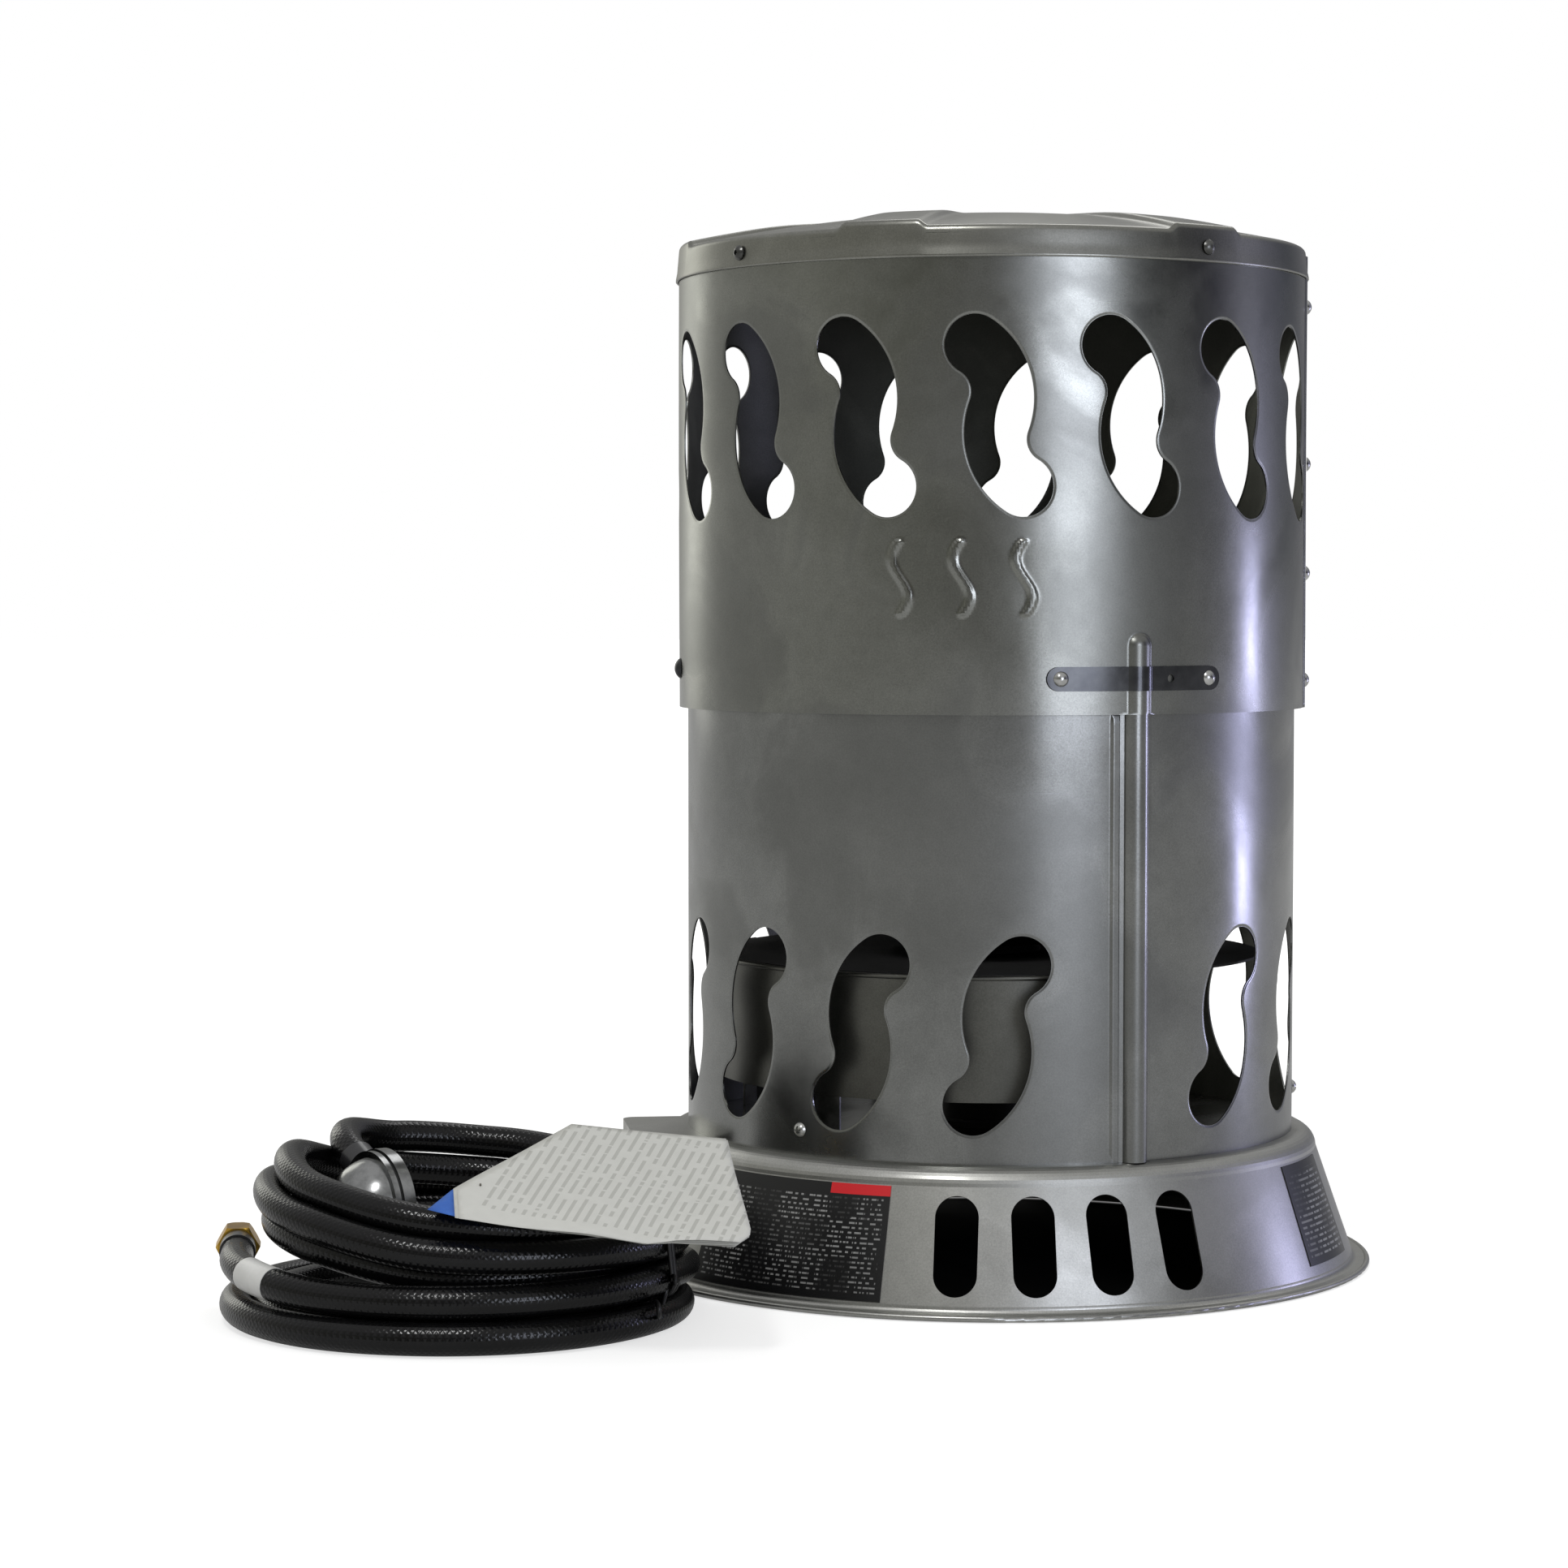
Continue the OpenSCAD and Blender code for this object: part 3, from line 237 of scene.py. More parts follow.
def distance_to(points: Array, outline: Array) -> Array:
    """Distance of each point from a closed outline.

    Args:
        points: the points, one row each.
        outline: the outline's corners in order.

    Returns:
        One distance for each point.
    """
    best = np.full(len(points), 1e9)
    for start, end in zip(outline, np.roll(outline, -1, axis=0)):
        line = end - start
        t = np.clip(((points - start) @ line) / max(float(line @ line), 1e-9), 0, 1)
        best = np.minimum(best, np.linalg.norm(points - (start + t[:, None] * line), axis=1))
    return best


def grid_points(across: Array, up: Array) -> Array:
    """Every crossing of a flat grid's lines."""
    return np.stack(np.meshgrid(across, up), -1).reshape(-1, 2)


def ring_edges(count: int, first: int = 0) -> list[tuple[int, int]]:
    """The edges of a closed outline of numbered points."""
    return [(first + i, first + (i + 1) % count) for i in range(count)]


# ---------- finishes ----------


def linear(code: str) -> Colour:
    """Turns an sRGB hex colour into the linear colour that shaders take.

    Args:
        code: the colour as "#rrggbb".

    Returns:
        Linear red, green, blue and an alpha of 1.
    """
    channels = [int(code[i:i + 2], 16) / 255 for i in (1, 3, 5)]
    red, green, blue = (c / 12.92 if c <= 0.04045 else ((c + 0.055) / 1.055) ** 2.4 for c in channels)
    return red, green, blue, 1.0


def grey(value: float) -> Colour:
    """A linear grey of that value."""
    return value, value, value, 1.0


class Graph:
    """One node tree, drawn up a node at a time."""

    def __init__(self, tree: bpy.types.NodeTree) -> None:
        """Empties the tree."""
        tree.nodes.clear()
        self.tree = tree

    def fill(self, node: bpy.types.Node, inputs: dict[Any, Any]) -> None:
        """Sets a node up.

        Args:
            node: the node.
            inputs: a value, or the socket that feeds it, for each socket name, socket number or property
                name; "ramp" holds a colour ramp's stops.
        """
        for key, value in inputs.items():
            if key == "ramp":
                stops = node.color_ramp.elements
                while len(stops) < len(value):
                    stops.new(1.0)
                for stop, (place, colour) in zip(stops, value):
                    stop.position, stop.color = place, colour
            elif isinstance(value, Socket):
                self.tree.links.new(value, node.inputs[key])
            elif isinstance(key, int) or key in node.inputs:
                node.inputs[key].default_value = value
            else:
                setattr(node, key, value)

    def add(self, kind: str, inputs: Optional[dict[Any, Any]] = None) -> bpy.types.Node:
        """Adds one node, set up as fill() says."""
        node = self.tree.nodes.new("ShaderNode" + kind)
        self.fill(node, inputs or {})
        return node

    def math(self, operation: str, *values: Socket | float) -> Socket:
        """One sum of numbers or sockets."""
        return self.add("Math", {"operation": operation, **dict(enumerate(values))}).outputs[0]

    def noise(self, place: Socket, size_mm: float, detail: float, rough: float = 0.5,
              warp: float = 0.0) -> Socket:
        """Noise whose patches have that size."""
        return self.add("TexNoise", {"Vector": place, "Scale": 1 / (size_mm * MM), "Detail": detail,
                                     "Roughness": rough, "Distortion": warp}).outputs["Fac"]

    def spread(self, value: Socket, low: float, high: float, start: float = 0.0, end: float = 1.0,
               curve: str = "LINEAR") -> Socket:
        """Carries a value from the range start to end over to the range low to high."""
        return self.add("MapRange", {"interpolation_type": curve, "Value": value, "From Min": start,
                                     "From Max": end, "To Min": low, "To Max": high}).outputs[0]

    def ramp(self, value: Socket, *stops: tuple[float, Colour]) -> Socket:
        """The colour at a value's place on a colour ramp."""
        return self.add("ValToRGB", {"Fac": value, "ramp": stops}).outputs["Color"]

    def mix(self, share: Socket, first: Socket | Colour, second: Socket | Colour) -> Socket:
        """A colour between two, by its share of the second."""
        return self.add("Mix", {"data_type": "RGBA", 0: share, 6: first, 7: second}).outputs[2]

    def bump(self, height: Socket, strength: float, depth_mm: float, **more: Socket) -> Socket:
        """A normal that follows a height."""
        return self.add("Bump", {"Height": height, "Strength": strength, "Distance": depth_mm * MM,
                                 **more}).outputs[0]

    def bearing(self, place: Socket) -> tuple[Socket, Socket]:
        """The direction round the drum, in radians from the front towards +X, and the height."""
        split = self.add("SeparateXYZ", {0: place}).outputs
        return self.math("ARCTAN2", split["X"], self.math("MULTIPLY", split["Y"], -1.0)), split["Z"]

    def rays(self) -> tuple[Socket, Socket]:
        """Whether a ray ends in the picture, straight or through glass, and whether a surface mirrors it."""
        path = self.add("LightPath").outputs
        return self.math("MAXIMUM", path["Is Camera Ray"], path["Is Transmission Ray"]), path["Is Glossy Ray"]


class Surface(Graph):
    """A material's node tree, with its shader and its coordinates in place."""

    def __init__(self, name: str) -> None:
        """Makes the material of that name."""
        self.material = bpy.data.materials.new(name)
        self.material.use_nodes = True
        super().__init__(self.material.node_tree)
        self.shader = self.add("BsdfPrincipled")
        self.add("OutputMaterial", {"Surface": self.shader.outputs[0]})
        coords = self.add("TexCoord").outputs
        self.place, self.page = coords["Object"], coords["UV"]

    def finish(self, **inputs: Any) -> bpy.types.Material:
        """Feeds the shader, whose inputs are named with _ for a space, and hands the material over."""
        self.fill(self.shader, {key.replace("_", " "): value for key, value in inputs.items()})
        return self.material


class Finish(Protocol):
    """Something that can build one material."""

    name: str

    def build(self) -> bpy.types.Material:
        """Builds the material."""
        ...


@functools.cache
def made(finish: Finish) -> bpy.types.Material:
    """The material of a finish, built the first time that it is asked for."""
    return finish.build()


def dress(piece: Piece, *finishes: Finish) -> None:
    """Gives a piece its finishes, in the order of its faces' material numbers."""
    if piece.data.materials:
        piece.data.materials.clear()
    for finish in finishes:
        piece.data.materials.append(made(finish))


@dataclass(frozen=True)
class GalvanisedSheet:
    """Zinc-coated steel sheet, skin-passed at the mill so that its spangle is only a faint cloudiness."""

    name: str
    light: str = "#8b8c8a"
    dark: str = "#7e7f7d"
    stain: str = "#6b6c6a"
    rough_low: float = 0.21
    rough_high: float = 0.34
    cloud_mm: float = 55.0
    handling_mm: float = 120.0
    spangle_mm: float = 7.0
    grain_mm: float = 0.8

    def build(self) -> bpy.types.Material:
        """Builds the sheet's cloudy zinc with its fine rolled grain."""
        g = Surface(self.name)
        # Soft zinc bloom, which the eye takes as bare coated steel rather than paint.
        cloud = g.noise(g.place, self.cloud_mm, 3.0, warp=0.4)
        # Where hands and rags wiped the sheet, which shows most in its highlights.
        marks = g.noise(g.place, self.handling_mm, 5.0, warp=0.9)
        # Spangle crystals, 5 to 10 mm on skin-passed sheet.
        spangle = g.add("TexVoronoi", {"feature": "SMOOTH_F1", "Vector": g.place, "Smoothness": 0.8,
                                       "Scale": 1 / (self.spangle_mm * MM)}).outputs["Distance"]
        # The rolls' grain is about 0.1 mm and is drawn at 0.8 mm so that it shows.
        grain = g.noise(g.place, self.grain_mm, 2.0, 0.7)
        tone = g.math("MULTIPLY", g.spread(spangle, 0.95, 1.05), g.spread(grain, 0.84, 1.16, 0.25, 0.75))
        cloudy = g.ramp(cloud, (0.34, linear(self.dark)), (0.66, linear(self.light)))
        plain = g.add("HueSaturation", {"Color": cloudy, "Value": tone}).outputs[0]
        worn = g.ramp(marks, (0.50, grey(0.0)), (0.56, grey(0.35)), (0.75, grey(0.5)))
        return g.finish(Metallic=1.0, Base_Color=g.mix(worn, plain, linear(self.stain)),
                        Roughness=g.spread(marks, self.rough_low, self.rough_high, 0.40, 0.60),
                        Normal=g.bump(grain, 0.05, 0.05, Normal=g.bump(cloud, 0.10, 1.0)))


@dataclass(frozen=True)
class PlainMetal:
    """A bare metal fitting, cast, turned or drawn."""

    name: str
    light: str
    dark: str
    roughness: float
    grain_mm: float = 1.2
    bump_mm: float = 0.04
    metallic: float = 1.0
    tarnish_mm: float = 14.0

    def build(self) -> bpy.types.Material:
        """Builds the metal with its tarnish and its cast or turned skin."""
        g = Surface(self.name)
        tarnish = g.noise(g.place, self.tarnish_mm, 5.0, 0.6)
        skin = g.bump(g.noise(g.place, self.grain_mm, 3.0), 0.35, self.bump_mm)
        return g.finish(Metallic=self.metallic, Normal=skin,
                        Base_Color=g.ramp(tarnish, (0.36, linear(self.dark)), (0.62, linear(self.light))),
                        Roughness=g.spread(tarnish, max(0.05, self.roughness - 0.09), self.roughness + 0.12))


@dataclass(frozen=True)
class PaintOrPlastic:
    """A coated, moulded or fired part that isn't bare metal."""

    name: str
    light: str
    dark: str
    roughness: float
    grain_mm: float = 0.8
    bump_mm: float = 0.03
    coat: float = 0.0
    ior: float = 1.49
    dust_mm: float = 22.0

    def build(self) -> bpy.types.Material:
        """Builds the part's even colour with dust, grain and handling marks."""
        g = Surface(self.name)
        dust = g.noise(g.place, self.dust_mm, 6.0, 0.65)
        skin = g.bump(g.noise(g.place, self.grain_mm, 3.0), 0.4, self.bump_mm)
        rough = g.spread(dust, max(0.05, self.roughness - 0.08), min(1.0, self.roughness + 0.10))
        return g.finish(Base_Color=g.ramp(dust, (0.34, linear(self.dark)), (0.70, linear(self.light))),
                        Roughness=rough, Normal=skin, IOR=self.ior, Coat_Weight=self.coat,
                        Coat_Roughness=0.12)


@dataclass(frozen=True)
class BraidedRubber:
    """Extruded black rubber hose whose inner braid prints through as fine crossing ribs."""

    name: str = "braid_printed_black_rubber_hose"
    light: str = "#0d0d0e"
    dark: str = "#060606"
    roughness: float = 0.17
    pitch_mm: float = 3.2
    strands: float = 14.0
    rib_mm: float = 0.11
    bloom_mm: float = 30.0

    def build(self) -> bpy.types.Material:
        """Builds the glossy hose, whose ribs break each long highlight into a zigzag."""
        g = Surface(self.name)
        split = g.add("SeparateXYZ", {0: g.page}).outputs
        # The braid's ribs lie about 2 mm apart; they are drawn at 3.2 mm so that they show.
        along = g.math("MULTIPLY", split["X"], FULL_TURN / (self.pitch_mm * MM))
        around = g.math("MULTIPLY", split["Y"], FULL_TURN * self.strands)
        ribs = [g.math("SINE", g.math(operation, along, around)) for operation in ("ADD", "SUBTRACT")]
        weave = g.math("SMOOTH_MAX", *ribs, 0.4)
        bloom = g.noise(g.place, self.bloom_mm, 5.0, 0.6)
        return g.finish(Base_Color=g.ramp(bloom, (0.35, linear(self.dark)), (0.68, linear(self.light))),
                        Roughness=g.spread(bloom, self.roughness - 0.05, self.roughness + 0.10),
                        Normal=g.bump(weave, 0.5, self.rib_mm), IOR=1.52, Specular_IOR_Level=0.29)


class Flow(Enum):
    """Which way a printed sheet's plain rows run."""

    ROUND_DRUM = "round_drum"
    SHEET_UV = "sheet_uv"


@dataclass(frozen=True)
class PrintedSheet:
    """A printed label or paper, whose small print is drawn as plain broken rows and says nothing."""

    name: str
    ground: str
    ink: str
    flow: Flow
    row_mm: float
    dash_mm: float
    fill: float
    strength: float
    roughness: float
    coat: float
    margin: Box
    block_mm: float = 0.0
    band: Optional[Box] = None
    band_ink: str = "#c8101a"
    drum_mm: float = 184.0
    fibre_mm: float = 6.0

    def window(self, g: Graph, across: Socket, height: Socket, box: Box,
               start: Optional[Socket] = None) -> Socket:
        """Keeps a value only inside a box of the flat sheet.

        Args:
            g: the material's nodes.
            across: the place across the sheet.
            height: the place up the sheet.
            box: the box's left, right, lower and upper edge, in millimetres.
            start: the value, or none for 1.

        Returns:
            The value inside the box, and 0 outside it.
        """
        left, right, low, high = box
        for source, operation, edge in ((across, "GREATER_THAN", left), (across, "LESS_THAN", right),
                                        (height, "GREATER_THAN", low), (height, "LESS_THAN", high)):
            side = g.math(operation, source, edge * MM)
            start = side if start is None else g.math("MULTIPLY", start, side)
        return start

    def build(self) -> bpy.types.Material:
        """Builds the ground, the plain rows of dashes and the coloured band."""
        g = Surface(self.name)
        if self.flow is Flow.ROUND_DRUM:
            turn, height = g.bearing(g.place)
            across = g.math("MULTIPLY", turn, self.drum_mm * MM)
        else:
            split = g.add("SeparateXYZ", {0: g.page}).outputs
            across, height = split["X"], split["Y"]
        rows = g.math("DIVIDE", height, self.row_mm * MM)
        stripe = g.math("COMPARE", g.math("FRACT", rows), 0.5, 0.19)
        dashes = g.math("DIVIDE", across, self.dash_mm * MM)
        spot = g.add("CombineXYZ", {0: dashes, 1: g.math("FLOOR", rows)}).outputs[0]
        words = g.add("TexNoise", {"noise_dimensions": "2D", "Scale": 1.0, "Detail": 2.0, "Vector": spot})
        printed = g.math("GREATER_THAN", words.outputs["Fac"], 1 - self.fill)
        ink = self.window(g, across, height, self.margin, g.math("MULTIPLY", stripe, printed))
        if self.block_mm:
            # Paragraphs of plain rows, with bare label between them.
            flat = g.add("CombineXYZ", {0: across, 1: height}).outputs[0]
            blocks = g.add("TexVoronoi", {
                "voronoi_dimensions": "2D", "feature": "F1", "distance": "CHEBYCHEV", "Vector": flat,
                "Scale": 1 / (self.block_mm * MM), "Randomness": 0.55}).outputs["Color"]
            tone = g.add("SeparateColor", {0: blocks}).outputs[0]
            ink = g.math("MULTIPLY", ink, g.spread(tone, 0.12, 1.0, 0.2, 0.8))
        ink = g.math("MULTIPLY", ink, self.strength)
        fibre = g.noise(g.place, self.fibre_mm, 5.0)
        ground = g.add("HueSaturation", {"Color": linear(self.ground), "Value": g.spread(fibre, 0.93, 1.04)})
        colour = g.mix(ink, ground.outputs[0], linear(self.ink))
        if self.band:
            colour = g.mix(self.window(g, across, height, self.band), colour, linear(self.band_ink))
        return g.finish(Base_Color=colour, Normal=g.bump(fibre, 0.2, 0.05), Roughness=self.roughness,
                        Coat_Weight=self.coat, Coat_Roughness=0.18)


@dataclass(frozen=True)
class TickedDial:
    """A black printed arc with plain white ticks round the knob."""

    name: str = "printed_dial_ring"
    ground: str = "#101011"
    ink: str = "#d8d8d4"
    ticks: float = 19.0
    scuff_mm: float = 5.0

    def build(self) -> bpy.types.Material:
        """Builds the arc's even ticks from its own turn and radius."""
        g = Surface(self.name)
        split = g.add("SeparateXYZ", {0: g.page}).outputs
        tick = g.math("COMPARE", g.math("FRACT", g.math("MULTIPLY", split["X"], self.ticks)), 0.5, 0.09)
        white = g.math("MULTIPLY", tick, g.math("COMPARE", split["Y"], 0.5, 0.28))
        scuff = g.noise(g.place, self.scuff_mm, 4.0)
        share = g.math("MULTIPLY", white, g.spread(scuff, 0.75, 1.0))
        return g.finish(Base_Color=g.mix(share, linear(self.ground), linear(self.ink)),
                        Roughness=g.spread(scuff, 0.35, 0.5))


@dataclass(frozen=True)
class SeamlessPaper:
    """The floor's pale paper, which shows white but keeps the object's shadow."""

    name: str = "pale_seamless_paper"
    # Painted shadow: the paper's dark colour inside the heater's foot.
    painted_shadow_under_foot: str = "#262625"
    open_floor: str = "#b8b8b7"
    foot_mm: tuple[float, float] = (186.0, 203.0)
    glow_from: float = 0.66
    glow_mm: tuple[float, float] = (600.0, 2200.0)
    mirrored: float = 0.2

    def build(self) -> bpy.types.Material:
        """Builds paper that glows only outside the heater's foot, and is painted dark inside it as a painted
        shadow, so that the base stays dark inside.
        """
        g = Surface(self.name)
        seen, glossy = g.rays()
        share = g.math("MAXIMUM", seen, g.math("MULTIPLY", glossy, self.mirrored))
        reach = g.add("VectorMath", {"operation": "LENGTH", 0: g.place}).outputs["Value"]
        outside = g.spread(reach, 0.0, 1.0, *(r * MM for r in self.foot_mm), curve="SMOOTHSTEP")
        away = g.spread(reach, self.glow_from, 1.0, *(r * MM for r in self.glow_mm), curve="SMOOTHSTEP")
        glow = g.math("MULTIPLY", share, g.math("MULTIPLY", outside, away))
        # Inside the foot the paper is painted dark, a painted shadow of the heater's base.
        colour = g.mix(outside, linear(self.painted_shadow_under_foot), linear(self.open_floor))
        paper = g.finish(Base_Color=colour, Roughness=1.0, Specular_IOR_Level=0.0, Emission_Color=grey(1.0),
                         Emission_Strength=glow)
        paper.cycles.emission_sampling = "NONE"
        return paper


# Each zinc sheet below was coated in the same bath but handled differently, so each has its own cloudiness.
# The base is its own sheet and is also painted much lighter than the shells: a painted reflection of the bright
# room that its cone faces.
BASE_ZINC = GalvanisedSheet("galvanised_steel_base", "#b4b4b0", "#a9a9a5", "#9c9c97", 0.33, 0.43, 90.0)
LOWER_ZINC = GalvanisedSheet("galvanised_steel_lower_shell")
UPPER_ZINC = GalvanisedSheet("galvanised_steel_upper_shell", "#8d8e8a", "#80817c", cloud_mm=70.0)
CAP_ZINC = GalvanisedSheet("galvanised_steel_cap", "#90908a", "#83837d", "#73736d", 0.28)
# The shells' inner faces are the same zinc painted a darker, dull warm grey: painted shade for the dim inside
# of the drum.
SHADE_DARKENED_INNER_ZINC = GalvanisedSheet("shade_darkened_inner_galvanised_steel", "#64655e", "#54554f", "#444540", 0.42, 0.55)
PAN_ZINC = GalvanisedSheet("galvanised_steel_pan", "#7b7c7a", "#6a6b69", cloud_mm=40.0)
SHIELD_ZINC = GalvanisedSheet("galvanised_steel_heat_shield", "#6e6e69", "#62625d", "#54544f", 0.40, 0.5)
# Bright rolled stainless strip: a sharp, darker mirror against the cloudy zinc.
STRAP_STEEL = PlainMetal("bright_stainless_strip", "#57585a", "#46474a", 0.2, 3.0, 0.01)
# Drawn steel rivets with a thin zinc plate: small crisp highlights.
RIVET_BRIGHT = PlainMetal("zinc_plated_steel_rivet", "#c8c8c6", "#9b9b99", 0.22)
RIVET_DULL = PlainMetal("aged_steel_rivet", "#6a6a68", "#434341", 0.28)
SCREW_ZINC = PlainMetal("zinc_plated_screw", "#c4c4c0", "#8f8f8b", 0.25)
# Black-oxide screws: nearly black with a soft oily glint.
SCREW_BLACK = PlainMetal("black_oxide_screw", "#47484a", "#26272a", 0.36)
# Heat-proof stove black on steel: flat, swallowing light inside the drum.
STOVE_BLACK = PaintOrPlastic("stove_black_enamel", "#1d1d1e", "#101011", 0.62, 1.0, 0.04)
BURNER_BLACK = PaintOrPlastic("burner_tube_black_enamel", "#262524", "#141413", 0.58, 1.2, 0.05)
# Sand-cast iron: coarse grain and a brown cast.
CAST_IRON = PlainMetal("sand_cast_iron", "#3a3733", "#211f1c", 0.6, 1.4, 0.22, 0.8)
BRACKET_STEEL = PlainMetal("stamped_bracket_steel", "#a1a19d", "#777773", 0.36)
# Glazed alumina insulator: creamy white with a clear glaze.
GLAZED_CERAMIC = PaintOrPlastic("glazed_alumina", "#ece7da", "#d9d3c3", 0.22, 2.0, 0.01, 0.6, 1.6)
COPPER = PlainMetal("drawn_copper", "#c98b62", "#94583a", 0.3)
# Turned brass, slightly tarnished: warm yellow with brown in the hollows.
BRASS = PlainMetal("turned_brass", "#c9a75a", "#94702c", 0.26)
VALVE_BRASS = PlainMetal("forged_valve_brass", "#bfa468", "#8c7338", 0.42, 0.9, 0.10)
NUT_BRASS = PlainMetal("hex_bar_brass", "#d9b048", "#a98230", 0.3, 2.0, 0.02)
ALUMINIUM = PlainMetal("drawn_aluminium_tube", "#cfd0d2", "#a9abad", 0.3)
# Moulded black plastic with a fine spark-eroded grain: soft sheen only.
KNOB_PLASTIC = PaintOrPlastic("moulded_black_phenolic", "#232324", "#171718", 0.42, 0.7, 0.03)
BUSHING_ZINC = PlainMetal("zinc_plated_bushing", "#c0c0bd", "#91918e", 0.27)
BUSHING_BLACK = PaintOrPlastic("moulded_black_nylon", "#242425", "#161617", 0.4)
BUTTON_RED = PaintOrPlastic("moulded_red_abs", "#b5231f", "#951a17", 0.33, 1.5, 0.01, 0.2)
BUTTON_WHITE = PaintOrPlastic("moulded_pale_abs", "#dcdcd7", "#c8c8c2", 0.35, 1.5, 0.01, 0.2)
# Black polyester label, laminated: deep black with a satin film on top.
RATING_LABEL = PrintedSheet("laminated_black_label", "#070708", "#b9b9b6", Flow.ROUND_DRUM, 2.3, 3.6, 0.5,
                            0.5, 0.34, 0.06, (-160.0, -54.5, 10.0, 55.0), 16.0, (-85.0, -51.0, 56.0, 61.5))
SIDE_LABEL = PrintedSheet("laminated_dark_label", "#1a1a1c", "#9c9da1", Flow.ROUND_DRUM, 2.8, 4.2, 0.55, 0.6,
                          0.36, 0.2, (193.0, 241.0, 14.0, 57.0), 14.0)
HOSE_RUBBER = BraidedRubber()
# Crimped and blacked steel sleeve: smooth and a little greyer than the rubber.
FERRULE_BLACK = PaintOrPlastic("black_crimp_sleeve", "#2a2a2c", "#171719", 0.3, 1.0, 0.02, 0.3)
# Die-cast zinc, tumbled bright: near-mirror with soft ripples.
ZINC_CASTING = PlainMetal("tumbled_zinc_casting", "#a2a3a3", "#737474", 0.2, 3.5, 0.05)
ZINC_CAP = PlainMetal("zinc_spring_cap", "#b1b2b4", "#84858a", 0.27)
GASKET = PaintOrPlastic("diaphragm_rubber", "#161616", "#0c0c0c", 0.55)
TIE_PLASTIC = PaintOrPlastic("extruded_black_pvc_tie", "#151516", "#0d0d0e", 0.3, 1.4, 0.02)
SLEEVE_PAPER = PaintOrPlastic("white_vinyl_sleeve", "#d4d4d1", "#bfbfbb", 0.38, 1.5, 0.01, 0.2)
# Uncoated office paper, off-white, with fine grey rows of print.
TOP_PAPER = PrintedSheet("uncoated_paper_printed", "#c3c3bd", "#74746c", Flow.SHEET_UV, 4.9, 8.0, 0.56, 0.34,
                         0.85, 0.0, (6.0, 100.0, 16.0, 137.0))
UNDER_PAPER = PaintOrPlastic("uncoated_paper_plain", "#c3c3bd", "#b6b6b0", 0.88, 1.2, 0.02)
BLUE_PAPER = PaintOrPlastic("blue_printed_paper", "#3a6cc0", "#2c58a6", 0.8, 1.2, 0.02)
WIRE = PlainMetal("annealed_tie_wire", "#8e8b84", "#5c5953", 0.38)

CAD_FINISHES: dict[str, Finish] = {
    "base_skirt": BASE_ZINC, "floor_pan": PAN_ZINC, "seam_strap": STRAP_STEEL, "strap_rivets": RIVET_BRIGHT,
    "seam_rivets": RIVET_BRIGHT, "cap_rivets": RIVET_DULL, "shell_screws": SCREW_ZINC,
    "joint_screws": SCREW_BLACK, "heat_shield": SHIELD_ZINC, "shield_legs": BRACKET_STEEL,
    "baffle_disc": STOVE_BLACK, "baffle_posts": STOVE_BLACK, "burner_tube": BURNER_BLACK,
    "burner_head": CAST_IRON, "burner_bracket": BRACKET_STEEL, "igniter_electrode": GLAZED_CERAMIC,
    "thermocouple": COPPER, "orifice_elbow": BRASS, "supply_tube": ALUMINIUM, "gas_valve": VALVE_BRASS,
    "inlet_fitting": BRASS, "control_knob": KNOB_PLASTIC, "safety_bushing": BUSHING_ZINC,
    "safety_button": BUTTON_RED, "igniter_bushing": BUSHING_BLACK, "igniter_button": BUTTON_WHITE,
    "rating_plate": RATING_LABEL, "side_plate": SIDE_LABEL, "nut_ferrule": FERRULE_BLACK, "flare_stem": BRASS,
    "flare_nut": NUT_BRASS, "regulator_ferrule": FERRULE_BLACK, "regulator_body": ZINC_CASTING,
    "regulator_gasket": GASKET, "regulator_bonnet": ZINC_CASTING, "regulator_cap": ZINC_CAP,
    "bottle_stem": BRASS, "bottle_nut": BRASS, "leaflet_wire": WIRE,
}


# ---------- studio ----------


# What metal mirrors, by direction: 0.5 is the front, 0.75 the side towards +X, and both ends are behind.
WALLS = (
    (0.00, 0.12, 0.12, 0.115), (0.11, 0.70, 0.70, 0.67), (0.19, 0.46, 0.46, 0.43), (0.31, 0.38, 0.38, 0.34),
    (0.43, 0.20, 0.20, 0.17), (0.50, 0.09, 0.085, 0.075), (0.53, 0.22, 0.22, 0.23), (0.565, 0.60, 0.61, 0.64),
    (0.61, 0.50, 0.51, 0.55), (0.645, 0.16, 0.17, 0.19), (0.69, 0.02, 0.02, 0.025), (0.745, 0.06, 0.06, 0.09),
    (0.79, 0.52, 0.52, 0.68), (0.825, 0.25, 0.25, 0.34), (0.87, 0.10, 0.11, 0.14), (0.94, 0.24, 0.24, 0.26),
    (1.00, 0.12, 0.12, 0.115))


@dataclass(frozen=True)
class Lamp:
    """One soft box. Its direction is in degrees from the front towards +X and above the floor."""

    name: str
    azimuth: float
    elevation: float
    distance: float
    width: float
    height: float
    watts: float
    tint: str

    def hang(self, aim: Vector) -> None:
        """Hangs the soft box so that it faces a point."""
        data = bpy.data.lights.new(self.name, "AREA")
        data.shape = "RECTANGLE"
        data.size, data.size_y = self.width * MM, self.height * MM
        data.energy = self.watts
        data.color = linear(self.tint)[:3]
        light = bpy.data.objects.new(self.name, data)
        bpy.context.scene.collection.objects.link(light)
        a, e = math.radians(self.azimuth), math.radians(self.elevation)
        away = Vector((math.sin(a) * math.cos(e), -math.cos(a) * math.cos(e), math.sin(e)))
        light.location = aim + away * self.distance * MM
        light.rotation_euler = away.to_track_quat("Z", "Y").to_euler()


